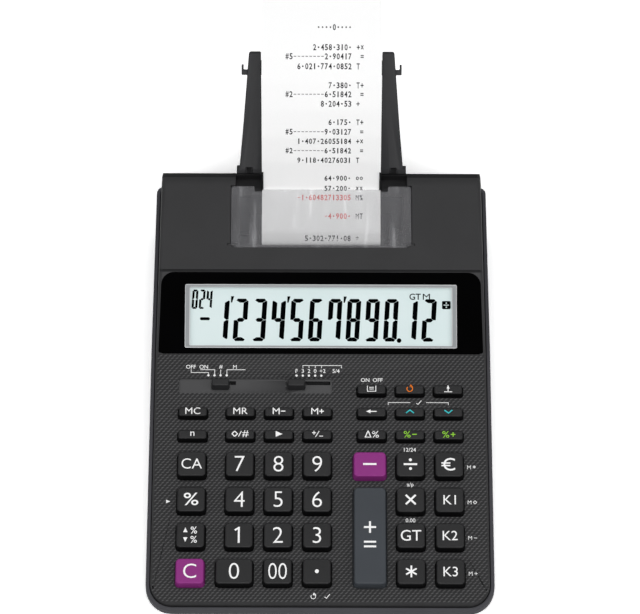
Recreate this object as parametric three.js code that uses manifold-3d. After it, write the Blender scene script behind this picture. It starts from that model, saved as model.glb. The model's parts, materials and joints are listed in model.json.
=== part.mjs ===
// A desktop printing calculator: a two-part plastic case with a sloping keyboard of forty-three keys,
// a tilted display, a small printer under a smoked cover, and a paper roll held behind on two arms.
// Millimetres. +X is to the right of the person who types, +Y points away from them and +Z is up.
// The body frame used below has Y = 0 at the front edge and Z = 0 on the table.
// The whole is moved at the end so that the origin is under the middle of its box.
import * as THREE from "three";
import { mergeVertices } from "three/addons/utils/BufferGeometryUtils.js";
import Module from "manifold-3d";

const wasm = await Module();
wasm.setup();

const { Vector2, Vector3, Matrix4 } = THREE;
const degree = Math.PI / 180;

// Shared clearances
const gap = 0.3; // between pieces that touch, fit or slide
const overrun = 5; // how far a cut runs past the face that it opens

// Columns of keys across the keyboard, from the left: the side keys, the numbers, the operators and the
// functions. The case is as wide as they need.
const columns = {
  pitch: 18.5,
  margin: 21.05,
  sideGap: 4.4,
  operatorGap: 6.6,
  functionGap: 0.9,
  printShift: 1,
};
const sideKeysToLast = 6 * columns.pitch + columns.sideGap + columns.operatorGap + columns.functionGap;
const caseWidth = sideKeysToLast + 2 * columns.margin;
const sideColumn = columns.margin - caseWidth / 2;
const numberColumn = (column) => sideColumn + columns.sideGap + (column + 1) * columns.pitch;
const operatorColumn = numberColumn(2) + columns.pitch + columns.operatorGap;
const printColumn = operatorColumn + columns.printShift;
const functionColumn = operatorColumn + columns.pitch + columns.functionGap;
const lastColumn = functionColumn + columns.pitch;

// Rows of keys up the keyboard: four rows of large keys and three of small ones. It is as long as they need.
const rows = { front: 14.7, pitch: 17.8, smallGap: 15.2, smallPitch: 11.65, behind: 19.4 };
const rowAt = (row) => rows.front + row * rows.pitch;
const smallRowAt = (row) => rowAt(3) + rows.smallGap + row * rows.smallPitch;

// The three sloping faces of the upper case, each with its own slope in degrees and length along the slope
const keyboard = { slope: 8, length: smallRowAt(2) + rows.behind };
const display = { slope: 21.5, length: 40.4, step: 1.5, stepSlope: 60 };
const housing = { slope: 11, length: 43.8 };

// Lower case: a tub with a rim that is level at the back and falls to the front, and walls that lean in
// under a band along the rim
const lower = {
  wall: 1.9,
  floor: 2,
  footHeight: 1.8,
  footRadius: 6.5,
  footSideInset: 24,
  footEndInset: 24,
  sideDraft: 14,
  frontDraft: 26,
  frontCorner: 12.7,
  rearCorner: 3.5,
  rimFront: 17,
  rimRear: 34,
  rimBehindKeys: 3,
  rimBand: 4,
};

// Inlet for a mains adapter in the back wall of the lower case: a round socket with a closed end
const inlet = { radius: 3.1, wall: 1.5, depth: 9, sideInset: 27, height: 15 };

// Upper case: its skirt drops inside the rim of the lower case
const upper = {
  wall: 2,
  lap: 3,
  frontHeight: 20,
  frontRound: 1,
  sideLean: 4,
  rearLean: 9.5,
  rearRound: 9.5,
};

// Screws that join the two halves, near the side walls
const screw = {
  radius: 1.3,
  bossRadius: 2.8,
  sideInset: 9.2,
  rearSideInset: 14,
  frontInset: 13,
  rearInset: 14,
  drop: 6,
  holeDepth: 5,
};

// Keys: a cap with a skirt through the keyboard and a flange that holds it in from below
const key = {
  travel: 2.5,
  height: 4.4,
  smallHeight: 3.4,
  cornerRadius: 2,
  smallCornerRadius: 1.3,
  sideDraft: 0.4,
  frontDraft: 0.6,
  topEdge: 0.5,
  flange: 0.9,
  flangeThickness: 1.2,
  holeGap: 0.25,
  columnChannel: 4.4,
  rowChannel: 4.3,
  smallColumnChannel: 4.1,
  smallRowChannel: 6.05,
  minusExtra: 2.1,
  tallExtra: 1.9,
  wideExtra: 4.1,
};
const square = {
  width: columns.pitch - key.columnChannel,
  depth: rows.pitch - key.rowChannel,
  height: key.height,
  corner: key.cornerRadius,
};
const small = {
  width: columns.pitch - key.smallColumnChannel,
  depth: rows.smallPitch - key.smallRowChannel,
  height: key.smallHeight,
  corner: key.smallCornerRadius,
};
const minus = { ...square, width: square.width + key.minusExtra };
const wide = { ...square, width: square.width + key.wideExtra };
const tall = { ...square, width: square.width + key.tallExtra, depth: 2 * rows.pitch + square.depth };

// Rubber mat with a low dome under each key, and the circuit board under the mat
const mat = { thickness: 1, rearInset: 9, domeHeight: 1.5, domeRadius: 2.4, domeTopShare: 0.7, domeSides: 6 };
const board = { thickness: 1.6, sideInset: 12, front: 4, rearInset: 5, postRadius: 2, postGap: 0.5 };

// Two slide switches in shallow trays at the top of the keyboard
const slider = {
  trayDepth: 0.8,
  trayLength: 7.6,
  trayBehind: 12.7,
  trayGap: 0.5,
  slotInset: 2.05,
  slotWidth: 1.9,
  neckLength: 2,
  neckAside: 3.1,
  knobLength: 8.8,
  knobDepth: 4.6,
  knobBehind: 0.8,
  knobHeight: 3.6,
  knobDraft: 0.4,
  knobFrontDraft: 1.3,
  knobCorner: 0.8,
  footLength: 10,
  footDepth: 5,
  footThickness: 1.2,
  stopPitch: 3,
};
const functionSwitch = { stops: 4, at: 2, fromSideKeys: 11.5, trayLeft: 7.1, trayRight: 3 };
const decimalSwitch = { stops: 5, at: 0, fromNumbers: 4.2, trayRight: 7.1 };

// Display: a glossy window over the liquid crystal module
const windowPlate = {
  sideInset: 5.1,
  endInset: 0.4,
  thickness: 1.6,
  topCorner: 6.3,
  lowCorner: 1,
  cornerStep: 18,
};
const lcd = { sideInset: 12.5, front: 2.9, rearInset: 5.8, thickness: 4.5 };

// Paper: the strip that runs from the roll through the printer. The printer, the cover, the roll and the
// arms take their widths from it.
const paper = {
  halfWidth: 29.1,
  thickness: 0.25,
  slotRise: 2,
  slotWidth: 2.4,
  platenLean: 5.6,
  platenRise: 2,
  meetsCover: 9.3,
  meetGap: 0.86,
  exitBehind: 0.63,
  exitGap: 0.46,
  bendRadius: 2.5,
  riseAngle: 70,
  curlRadius: 110,
  endAngle: 20,
  tail: 6,
};
const beside = (reach) => paper.halfWidth + reach;

// Smoked printer cover, hinged at its front edge, with the tear-off edge at its back, and the bay behind it
const cover = {
  besidePaper: 15.1,
  front: 11.5,
  tearInset: 1.5,
  notchDepth: 1.2,
  notchWidth: 3.7,
  thickness: 1.6,
  corner: 2.5,
  pinRadius: 0.7,
  pinInset: 1.5,
  pinReach: 1.4,
  ledge: 4.2,
};
const bay = { sideInset: 2, length: 6.75, drop: 5.2, throatInset: 3.5 };

// Printer: a frame with two side plates that carry the platen roller and the type drum
const printer = {
  length: 31.5,
  platenBack: 22.7,
  platenDrop: 11.6,
  drumAhead: 14.1,
  frontReach: 8.4,
  topRise: 8,
  baseThickness: 2,
  plateThickness: 2,
  plateReach: 4.4,
  platenReach: 1.9,
  drumReach: -1.6,
  shaftRadius: 1.5,
  gearThickness: 2.6,
  gearTeeth: 16,
  toothHeight: 1.2,
};
const motor = { radius: 9, length: 27, ahead: 2, rise: 2.6 };

// The two arms that hold the roll: how far each part of them lies beside the paper, and their other sizes
const arm = {
  hingeBehind: 1.16,
  hingeRise: 10.6,
  barrelRadius: 4.2,
  barrelReach: 13.1,
  baseInner: 0.6,
  baseOuter: 11.55,
  tipInner: 1.1,
  tipOuter: 7,
  baseThickness: 7,
  tipThickness: 5,
  tipBeyondRoll: 8,
  tipChamfer: 0.6,
  hubRadius: 3.65,
  hubReach: 7.5,
  pinRadius: 1.5,
  lugInner: 5.4,
  lugOuter: 8.4,
  lugRadius: 4.2,
  hookBelow: 3.6,
  hookReach: 3.7,
  hookThickness: 1,
  hookHeight: 5.2,
  hookFoot: 2.6,
  hookDepth: 3,
  rollBehind: 41.8,
  rollRise: 32.5,
};

// Battery compartment for four AA cells, with a cover that slides out of the back edge of the base
const battery = {
  halfWidth: 34.3,
  length: 53.5,
  rearInset: 9.5,
  height: 15.7,
  wall: 1.6,
  coverSideInset: 3.1,
  coverBeyond: 1.9,
  coverLip: 2.5,
  lipThickness: 1.2,
};

// Materials
const plastic = (color, roughness) => new THREE.MeshStandardMaterial({ color, roughness, metalness: 0 });
const material = {
  caseBlack: plastic(0x3a3a3b, 0.6),
  rimBlack: plastic(0x444446, 0.62),
  keyBlack: plastic(0x1d1d1f, 0.42),
  keyMagenta: plastic(0x7d1f73, 0.42),
  keyGrey: plastic(0x3c4048, 0.42),
  gloss: plastic(0x050506, 0.08),
  glass: plastic(0xd6e2e2, 0.25),
  smoked: plastic(0x565658, 0.15),
  rubber: plastic(0x9a9a98, 0.8),
  boardGreen: plastic(0x1f5a34, 0.5),
  frameGrey: plastic(0x77797c, 0.5),
  rollerRubber: plastic(0x2a2a2a, 0.85),
  paperWhite: plastic(0xf6f6f4, 0.9),
};

// The corners [x, y, radius] of an outline, with each rounded corner drawn as an arc.
function outline(corners, step = 45 * degree) {
  const points = [];
  corners.forEach(([x, y, radius = 0], i) => {
    const corner = new Vector2(x, y);
    if (!radius) {
      points.push(corner);
      return;
    }
    const towards = (other) => new Vector2(other[0], other[1]).sub(corner).normalize();
    const before = towards(corners.at(i - 1));
    const after = towards(corners[(i + 1) % corners.length]);
    const half = Math.acos(THREE.MathUtils.clamp(before.dot(after), -1, 1)) / 2;
    const start = before.clone().multiplyScalar(radius / Math.tan(half));
    const middle = before.clone().add(after).normalize().multiplyScalar(radius / Math.sin(half));
    const turn = Math.sign(before.cross(after)) * (2 * half - Math.PI);
    const steps = Math.max(1, Math.round(Math.abs(turn) / step));
    for (let k = 0; k <= steps; k++)
      points.push(start.clone().rotateAround(middle, (turn * k) / steps).add(corner));
  });
  return points;
}

const rectangle = (left, right, front, rear, frontCorner = 0, rearCorner = frontCorner) => [
  [left, front, frontCorner],
  [right, front, frontCorner],
  [right, rear, rearCorner],
  [left, rear, rearCorner],
];

// A closed geometry as a solid that can be cut and joined.
function solid(geometry, matrix = new Matrix4()) {
  const bare = new THREE.BufferGeometry();
  bare.setAttribute("position", geometry.getAttribute("position"));
  bare.setIndex(geometry.index);
  const merged = mergeVertices(bare.applyMatrix4(matrix));
  const { array } = merged.getAttribute("position");
  return new wasm.Manifold(
    new wasm.Mesh({ numProp: 3, vertProperties: array, triVerts: new Uint32Array(merged.index.array) }),
  );
}

function geometryOf(body) {
  const { numProp, vertProperties, triVerts } = body.getMesh();
  const geometry = new THREE.BufferGeometry();
  const places = new Float32Array((vertProperties.length / numProp) * 3);
  for (let i = 0; i < places.length / 3; i++)
    places.set(vertProperties.subarray(i * numProp, i * numProp + 3), i * 3);
  geometry.setAttribute("position", new THREE.BufferAttribute(places, 3));
  geometry.setIndex(new THREE.BufferAttribute(triVerts, 1));
  geometry.computeVertexNormals();
  return geometry;
}

const join = (...bodies) => bodies.flat().reduce((all, body) => all.add(body));
const cut = (body, ...cutters) => (cutters.flat().length ? body.subtract(join(...cutters)) : body);

// An outline in X and Y, drawn up from one height to another.
function plate(corners, low, high, matrix, step) {
  const shape = new THREE.Shape(outline(corners, step));
  const options = { depth: high - low, bevelEnabled: false };
  const geometry = new THREE.ExtrudeGeometry(shape, options).translate(0, 0, low);
  return solid(geometry, matrix);
}

// An outline in Y and Z, drawn along X.
const acrossAxes = new Matrix4().makeBasis(new Vector3(0, 1, 0), new Vector3(0, 0, 1), new Vector3(1, 0, 0));
const across = (corners, left, right, step) => plate(corners, left, right, acrossAxes, step);

const box = (left, right, front, rear, low, high, matrix) =>
  plate(rectangle(left, right, front, rear), low, high, matrix);

// A cylinder along X.
function rod(radius, left, right, y, z, sides = 20) {
  const geometry = new THREE.CylinderGeometry(radius, radius, right - left, sides);
  geometry.rotateZ(90 * degree).translate((left + right) / 2, y, z);
  return solid(geometry);
}

// A cylinder along Z.
function post(radius, x, y, low, high, matrix, sides = 14) {
  const geometry = new THREE.CylinderGeometry(radius, radius, high - low, sides);
  return solid(geometry.rotateX(90 * degree).translate(x, y, (low + high) / 2), matrix);
}

// Rings of equally many points, joined into one skin and closed at both ends.
function loft(rings, matrix) {
  const count = rings[0].length;
  const places = rings.flat().flatMap((point) => point.toArray());
  const faces = [];
  for (let ring = 0; ring + 1 < rings.length; ring++)
    for (let i = 0; i < count; i++) {
      const next = (i + 1) % count;
      const [a, b] = [ring * count + i, ring * count + next];
      faces.push(a, b, b + count, a, b + count, a + count);
    }
  const top = (rings.length - 1) * count;
  const flat = (ring) => ring.map((point) => new Vector2(point.x, point.y));
  for (const [a, b, c] of THREE.ShapeUtils.triangulateShape(flat(rings[0]), [])) faces.push(c, b, a);
  for (const [a, b, c] of THREE.ShapeUtils.triangulateShape(flat(rings.at(-1)), []))
    faces.push(top + a, top + b, top + c);
  const geometry = new THREE.BufferGeometry();
  geometry.setAttribute("position", new THREE.Float32BufferAttribute(places, 3));
  geometry.setIndex(faces);
  return solid(geometry, matrix);
}

// The line moved to its right-hand side by a distance, with mitred corners.
function offsetLine(line, distance) {
  const sides = line.slice(1).map((point, i) => {
    const along = point.clone().sub(line[i]).normalize();
    return new Vector2(along.y, -along.x);
  });
  return line.map((point, i) => {
    const before = sides[Math.max(i - 1, 0)];
    const after = sides[Math.min(i, sides.length - 1)];
    const mitre = before.clone().add(after).normalize();
    return point.clone().addScaledVector(mitre, distance / mitre.dot(before));
  });
}

// The frame of a sloping face: its X runs across, its Y up the slope and its Z out of the face.
const slopeFrame = (origin, slope) =>
  new Matrix4().makeTranslation(0, origin.x, origin.y).multiply(new Matrix4().makeRotationX(slope * degree));
const along = (start, slope, length) =>
  start.clone().add(new Vector2(Math.cos(slope * degree), Math.sin(slope * degree)).multiplyScalar(length));

// Corner points of the upper case's side view
const upperInset = lower.wall + gap;
const keyboardStart = new Vector2(upperInset, upper.frontHeight);
const displayStart = along(keyboardStart, keyboard.slope, keyboard.length);
const displayEnd = along(displayStart, display.slope, display.length);
const housingStart = along(displayEnd, display.stepSlope, display.step);
const housingEnd = along(housingStart, housing.slope, housing.length);

// The rounded back edge, from the housing's slope to a fall as steep as the rear wall, which sets the depth
const rearRoundCentre = along(housingEnd, housing.slope - 90, upper.rearRound);
const rearRoundEnd = along(rearRoundCentre, upper.rearLean, upper.rearRound);
const rearFall = (z) => (z - lower.rimRear) * Math.tan(upper.rearLean * degree);
const caseDepth = rearRoundEnd.x + rearFall(rearRoundEnd.y) + upperInset;
const backWall = (z) => caseDepth - upperInset - rearFall(z);
const rimBend = displayStart.x + lower.rimBehindKeys;

const keyboardFrame = slopeFrame(keyboardStart, keyboard.slope);
const displayFrame = slopeFrame(displayStart, display.slope);
const housingFrame = slopeFrame(housingStart, housing.slope);
const inHousing = (up, out) => along(along(housingStart, housing.slope, up), housing.slope + 90, out);

// Places that follow from the sizes above
const floorTop = lower.footHeight + lower.floor;
const wellTop = floorTop + battery.height + battery.wall;
const batteryRear = caseDepth - battery.rearInset;
const batteryFront = batteryRear - battery.length;
const windowHalf = caseWidth / 2 - windowPlate.sideInset;
const windowRear = display.length - windowPlate.endInset;
const lcdHalf = windowHalf - lcd.sideInset;
const lcdRear = display.length - lcd.rearInset;
const boardHalf = caseWidth / 2 - board.sideInset;
const boardRear = keyboard.length - board.rearInset;
const trayRear = keyboard.length - slider.trayBehind;
const trayFront = trayRear - slider.trayLength;
const slotRow = trayRear - slider.slotInset;
const coverHalf = beside(cover.besidePaper);
const coverRear = housing.length - gap;
const tearEdge = coverRear - cover.tearInset;
const bayHalf = coverHalf - bay.sideInset;
const bayRear = housingEnd.x + bay.length;
const bayFloor = housingEnd.y - bay.drop;
const throatRear = bayRear - bay.throatInset;
const frameLow = wellTop + gap;
const plateInside = beside(printer.plateReach);
const plateOutside = plateInside + printer.plateThickness;
const platen = {
  y: housingStart.x + printer.platenBack,
  z: housingStart.y - printer.platenDrop,
  radius: 6.5,
  halfLength: beside(printer.platenReach),
  gearRadius: 6.4,
};
const drum = {
  y: platen.y - printer.drumAhead,
  z: platen.z,
  radius: 6,
  halfLength: beside(printer.drumReach),
  gearRadius: 5.2,
  bands: 5,
  bandDepth: 0.5,
};
const armHinge = new Vector2(caseDepth + arm.hingeBehind, lower.rimRear + arm.hingeRise);
const roll = {
  y: armHinge.x + arm.rollBehind,
  z: armHinge.y + arm.rollRise,
  radius: 30,
  sideGap: 0.2,
  boreRadius: 4.1,
};

// The rim falls in a straight line from its bend to the front edge.
const rimHeight = (y) =>
  lower.rimRear - Math.max(0, rimBend - y) * ((lower.rimRear - lower.rimFront) / rimBend);

// One level of the case's outline. Its inset can change from front to back, and the sides and the back
// can lean in further as the level rises.
function caseRing(insetAt, heightAt, sideLean = 0, rearLean = 0) {
  const [frontInset, bendInset, rearInset] = [0, rimBend, caseDepth].map(insetAt);
  const side = (inset) => caseWidth / 2 - inset - sideLean;
  const rear = caseDepth - rearInset - rearLean;
  const frontCorner = Math.max(lower.frontCorner - frontInset, gap);
  const rearCorner = Math.max(lower.rearCorner - rearInset, gap);
  const corners = [
    [-side(frontInset), frontInset, frontCorner],
    [side(frontInset), frontInset, frontCorner],
    [side(bendInset), rimBend],
    [side(rearInset), rear, rearCorner],
    [-side(rearInset), rear, rearCorner],
    [-side(bendInset), rimBend],
  ];
  return outline(corners, 11.25 * degree).map(({ x, y }) => new Vector3(x, y, heightAt(y)));
}

// Everything under a line in the side view, across the whole case.
function under(line) {
  const first = line[0];
  const last = line.at(-1);
  const deep = -overrun;
  const corners = [[first.x, deep], [last.x, deep], ...line.toReversed().map(({ x, y }) => [x, y])];
  return across(corners, -caseWidth, caseWidth);
}

const rimLine = (drop = 0) =>
  [-overrun, rimBend, caseDepth + overrun].map((y) => new Vector2(y, rimHeight(y) - drop));

// The corners and sizes of the four feet
const footColumns = [-1, 1].map((side) => side * (caseWidth / 2 - lower.footSideInset));
const footRows = [lower.footEndInset, caseDepth - lower.footEndInset];
const screwPlaces = [-1, 1].flatMap((side) => [
  [side * (caseWidth / 2 - screw.sideInset), screw.frontInset],
  [side * (caseWidth / 2 - screw.sideInset), caseDepth / 2],
  [side * (caseWidth / 2 - screw.rearSideInset), caseDepth - screw.rearInset],
]);
const splitHeight = (y) => rimHeight(y) - screw.drop;

const aboveAll = display.length + housing.length;

// The tub filled in down to a level: the outside of the lower case up to its rim, or drawn in by a wall.
function tub(inset, low, rimDrop = 0) {
  const bandLow = (y) => rimHeight(y) - lower.rimBand;
  const lean = (y) => (y > 0 ? lower.sideDraft : lower.frontDraft) * degree;
  const draft = (y) => (bandLow(y) - low) * Math.tan(lean(y));
  const rings = [
    caseRing((y) => inset + draft(y), () => low),
    caseRing(() => inset, bandLow),
    caseRing(() => inset, (y) => rimHeight(y) + aboveAll),
  ];
  return loft(rings).intersect(under(rimLine(rimDrop)));
}

function makeLowerCase() {
  const outside = tub(0, lower.footHeight);
  const hollow = tub(lower.wall, floorTop, -overrun);
  const bosses = screwPlaces.map(([x, y]) => post(screw.bossRadius, x, y, lower.footHeight, splitHeight(y)));
  const well = box(
    -battery.halfWidth - battery.wall,
    battery.halfWidth + battery.wall,
    batteryFront - battery.wall,
    batteryRear + battery.wall,
    lower.footHeight,
    floorTop + battery.height + battery.wall,
  );
  const inside = join(...bosses, well, inletRod(inlet.radius + inlet.wall, inlet.wall)).intersect(outside);
  const feet = footColumns.flatMap((x) => footRows.map((y) => post(lower.footRadius, x, y, 0, floorTop)));
  const room = box(
    -battery.halfWidth,
    battery.halfWidth,
    batteryFront,
    batteryRear,
    floorTop,
    floorTop + battery.height,
  );
  const mouth = batteryCoverShape(gap, overrun);
  const holes = screwPlaces.map(([x, y]) => post(screw.radius, x, y, -overrun, splitHeight(y) + overrun));
  const shell = join(outside.subtract(hollow), inside, ...feet);
  return cut(shell, room, mouth, ...holes, inletRod(inlet.radius, 0));
}

// A rod along the adapter inlet's axis, from behind the case to the inlet's closed end and past it.
function inletRod(radius, past) {
  const belowBand = rimHeight(caseDepth) - lower.rimBand - inlet.height;
  const wallFace = caseDepth - belowBand * Math.tan(lower.sideDraft * degree);
  const [front, rear] = [wallFace - inlet.depth - past, caseDepth + overrun];
  const geometry = new THREE.CylinderGeometry(radius, radius, rear - front, 20);
  return solid(geometry.translate(inlet.sideInset - caseWidth / 2, (front + rear) / 2, inlet.height));
}

// The battery cover, or with a clearance the mouth that it slides in, which also runs out of the back.
function batteryCoverShape(clearance, past = 0) {
  const panelHalf = battery.halfWidth - battery.coverSideInset + clearance;
  const lipHalf = panelHalf + battery.coverLip;
  const front = batteryFront + battery.wall - clearance;
  const rear = batteryRear + battery.coverBeyond + past;
  const lipLow = floorTop + gap - clearance;
  const lipHigh = floorTop + gap + battery.lipThickness + clearance;
  const panel = box(-panelHalf, panelHalf, front, rear, lower.footHeight - past, lipHigh);
  return join(panel, box(-lipHalf, lipHalf, front, rear, lipLow, lipHigh));
}

// The outside of the upper case, or with a wall's thickness taken off its inside.
function upperShape(inward) {
  const inset = upperInset + inward;
  const level = (heightAt, rise) =>
    caseRing(
      () => inset,
      heightAt,
      rise * Math.tan(upper.sideLean * degree),
      rise * Math.tan(upper.rearLean * degree),
    );
  const rings = [
    level((y) => rimHeight(y) - upper.lap - overrun, 0),
    level((y) => rimHeight(y), 0),
    level((y) => rimHeight(y) + aboveAll, aboveAll),
  ];
  return loft(rings).intersect(under(offsetLine(topLine(), inward)));
}

// The upper case's top in the side view, from in front of the case to behind it.
function topLine() {
  const round = upper.frontRound;
  const frontEdge = along(keyboardStart, keyboard.slope, round);
  const behind = along(housingEnd, upper.rearLean - 90, upper.rearRound * 2);
  const corners = [
    [keyboardStart.x - overrun, keyboardStart.y - round - overrun],
    [keyboardStart.x, keyboardStart.y - round],
    [frontEdge.x, frontEdge.y],
    [displayStart.x, displayStart.y],
    [displayEnd.x, displayEnd.y],
    [housingStart.x, housingStart.y],
    ...rearRound(),
    [behind.x + upper.rearRound + overrun, behind.y],
  ];
  return corners.map(([x, y]) => new Vector2(x, y));
}

function rearRound() {
  const steps = 6;
  const sweep = 90 - upper.rearLean + housing.slope;
  return Array.from({ length: steps + 1 }, (_, k) => {
    const point = along(rearRoundCentre, 90 + housing.slope - (sweep * k) / steps, upper.rearRound);
    return [point.x, point.y];
  });
}

function makeUpperCase(keys) {
  const panelLow = -upper.wall - overrun;
  const coverFloor = -cover.thickness - gap;
  const deep = -aboveAll;
  const coverRim = rectangle(
    -coverHalf - gap,
    coverHalf + gap,
    cover.front - gap,
    housing.length,
    cover.corner,
    0,
  );
  const windowRim = rectangle(
    -windowHalf - gap,
    windowHalf + gap,
    windowPlate.endInset - gap,
    windowRear + gap,
    windowPlate.lowCorner,
    windowPlate.topCorner,
  );
  const trays = [functionTray, decimalTray].map(([left, right]) => [left, right, trayFront, trayRear]);

  // Pockets in the outer skin, and the same pockets with a wall round them that the hollow leaves standing
  const grown = (corners, by) => {
    const [[left, front], , [right, rear]] = corners;
    return rectangle(left - by, right + by, front - by, rear + by);
  };
  const coverPocket = plate(coverRim, coverFloor, overrun, housingFrame);
  const windowPocket = plate(
    windowRim,
    -windowPlate.thickness - gap,
    overrun,
    displayFrame,
    windowPlate.cornerStep * degree,
  );
  const bayPocket = box(-bayHalf, bayHalf, housingEnd.x - gap, bayRear, bayFloor, aboveAll);
  const trayPockets = trays.map(([left, right, front, rear]) =>
    plate(rectangle(left, right, front, rear, slider.knobCorner), -slider.trayDepth, overrun, keyboardFrame),
  );
  const backing = [
    plate(grown(coverRim, upper.wall), coverFloor - upper.wall, overrun, housingFrame),
    plate(grown(windowRim, gap), -windowPlate.thickness - gap - upper.wall, overrun, displayFrame),
    box(
      -bayHalf - upper.wall,
      bayHalf + upper.wall,
      housingEnd.x - upper.wall,
      bayRear + upper.wall,
      bayFloor - upper.wall,
      aboveAll,
    ),
  ];

  // Openings right through
  const keyHoles = keys.map(({ x, y, size }) =>
    plate(keyOutline(size, key.holeGap), panelLow, overrun, keyFrame(x, y)),
  );
  const slots = [functionSwitch, decimalSwitch].map((each) => {
    const half = ((each.stops - 1) * slider.stopPitch + slider.neckLength) / 2 + gap;
    const front = slotRow - slider.slotWidth / 2;
    return box(
      travelCentre(each) + slider.neckAside - half,
      travelCentre(each) + slider.neckAside + half,
      front,
      front + slider.slotWidth,
      panelLow,
      overrun,
      keyboardFrame,
    );
  });
  const lcdHole = box(
    -lcdHalf - gap,
    lcdHalf + gap,
    lcd.front - gap,
    lcdRear + gap,
    panelLow,
    overrun,
    displayFrame,
  );
  const inside = coverHalf - cover.ledge;
  const coverHole = box(
    -inside,
    inside,
    cover.front + cover.pinInset,
    housing.length - overrun,
    deep,
    0,
    housingFrame,
  );
  const hingeFloor = coverFloor - cover.pinInset / 2 - gap;
  const hingeStrip = box(
    -coverHalf - gap,
    coverHalf + gap,
    cover.front - gap,
    cover.front + 2 * cover.pinInset + gap,
    hingeFloor,
    0,
    housingFrame,
  );
  const hingeRelief = plate(coverRim, hingeFloor, 0, housingFrame).intersect(hingeStrip);
  const throat = box(
    -paper.halfWidth - 2 * gap,
    paper.halfWidth + 2 * gap,
    housingStart.x + cover.front + cover.pinInset,
    throatRear,
    platen.z,
    aboveAll,
  );
  const paperSlot = box(
    -paper.halfWidth - 2 * gap,
    paper.halfWidth + 2 * gap,
    throatRear,
    caseDepth,
    slotHeight - paper.slotWidth / 2,
    slotHeight + paper.slotWidth / 2,
  );
  const pin = coverPin();
  const pinHole = rod(cover.pinRadius + gap, -pin.reach - gap, pin.reach + gap, pin.y, pin.z, 10);

  // Posts that carry the circuit board, bosses for the case screws and lugs for the paper arms
  const posts = postPlaces.map(([x, y]) =>
    post(board.postRadius, x, y, gap - boardTop, -upper.wall / 2, keyboardFrame, 10),
  );
  const bosses = screwPlaces.map(([x, y]) => post(screw.bossRadius, x, y, splitHeight(y) + gap, aboveAll));
  const pilots = screwPlaces.map(([x, y]) => {
    const low = splitHeight(y) + gap;
    return post(screw.radius, x, y, low - overrun, low + screw.holeDepth);
  });
  const outside = upperShape(0).subtract(under(rimLine(upper.lap)));
  const hollow = cut(upperShape(upper.wall), ...backing);
  const shell = join(outside.subtract(hollow), ...posts, join(...bosses).intersect(outside));
  const opened = cut(
    shell,
    coverPocket,
    windowPocket,
    bayPocket,
    ...trayPockets,
    ...keyHoles,
    ...slots,
    lcdHole,
    coverHole,
    hingeRelief,
    throat,
    paperSlot,
    pinHole,
    ...pilots,
  );
  return join(opened, ...[-1, 1].map(makeLug));
}

// One lug on the rear wall, which stands in the slot of a paper arm's barrel with the arm's pin through it.
function makeLug(side) {
  const inner = beside(arm.lugInner) + gap;
  const outer = beside(arm.lugOuter) - gap;
  const [left, right] = side < 0 ? [-outer, -inner] : [inner, outer];
  const { x: y, y: z } = armHinge;
  const tab = box(left, right, backWall(z) - upper.wall / 2, y, z - arm.lugRadius, z + arm.lugRadius);
  const eye = rod(arm.lugRadius, left, right, y, z);
  const hole = rod(arm.pinRadius + gap, left - gap, right + gap, y, z, 16);
  return cut(join(tab, eye), hole);
}

// How deep the tops of the mat and of the board lie under the keyboard's face
const matTop = upper.wall + gap + key.flangeThickness + key.travel + gap + mat.domeHeight;
const boardTop = matTop + mat.thickness + gap;

// Posts in the channels between the keys carry the board
const channel = (low, lowSize, high, highSize) => (low + lowSize / 2 + high - highSize / 2) / 2;
const postColumns = [
  channel(sideColumn, square.width, numberColumn(0), square.width),
  channel(numberColumn(2), square.width, operatorColumn, tall.width),
];
const postRows = [
  channel(rowAt(1), square.depth, rowAt(2), square.depth),
  channel(rowAt(3), square.depth, smallRowAt(0), small.depth),
];
const postPlaces = postColumns.flatMap((x) => postRows.map((y) => [x, y]));

// A key's outline in its own place, larger all round by a margin.
const keyOutline = ({ width, depth, corner }, margin) =>
  rectangle(
    -width / 2 - margin,
    width / 2 + margin,
    -depth / 2 - margin,
    depth / 2 + margin,
    corner + margin / 2,
  );
const keyFrame = (x, y) => keyboardFrame.clone().multiply(new Matrix4().makeTranslation(x, y, 0));

function makeKey(size) {
  const ring = (margin, height, draft = 0) =>
    outline(keyOutline(size, margin)).map(({ x, y }) => {
      const up = (x / (size.width / 2)) * draft * key.sideDraft;
      const back = (y / (size.depth / 2)) * draft * (y < 0 ? key.frontDraft : key.sideDraft);
      return new Vector3(x - up, y - back, height);
    });
  const flangeTop = -upper.wall - gap;
  return loft([
    ring(key.flange, flangeTop - key.flangeThickness),
    ring(key.flange, flangeTop),
    ring(0, flangeTop),
    ring(0, size.height - key.topEdge, 1),
    ring(-key.topEdge, size.height, 1),
  ]);
}

function makeKeyMat(keys) {
  const domes = keys.flatMap(({ x, y, size }) => {
    const places = size === tall ? [y - rows.pitch, y + rows.pitch] : [y];
    return places.map((place) => dome(x, place));
  });
  const low = -matTop - mat.thickness;
  const sheet = box(-boardHalf, boardHalf, board.front, boardRear - mat.rearInset, low, -matTop);
  const holes = postPlaces.map(([x, y]) =>
    post(board.postRadius + board.postGap, x, y, low - gap, gap - matTop, undefined, 10),
  );
  return cut(join(sheet, ...domes), ...holes);
}

function dome(x, y) {
  const high = mat.domeHeight + mat.thickness / 2;
  const topRadius = mat.domeRadius * mat.domeTopShare;
  const geometry = new THREE.CylinderGeometry(topRadius, mat.domeRadius, high, mat.domeSides);
  return solid(geometry.rotateX(90 * degree).translate(x, y, high / 2 - mat.thickness / 2 - matTop));
}

function makeBoard() {
  const low = -boardTop - board.thickness;
  const sheet = box(-boardHalf, boardHalf, board.front, boardRear, low, -boardTop);
  const holes = postPlaces.map(([x, y]) =>
    post(screw.radius, x, y, low - gap, gap - boardTop, undefined, 10),
  );
  return cut(sheet, ...holes);
}

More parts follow.
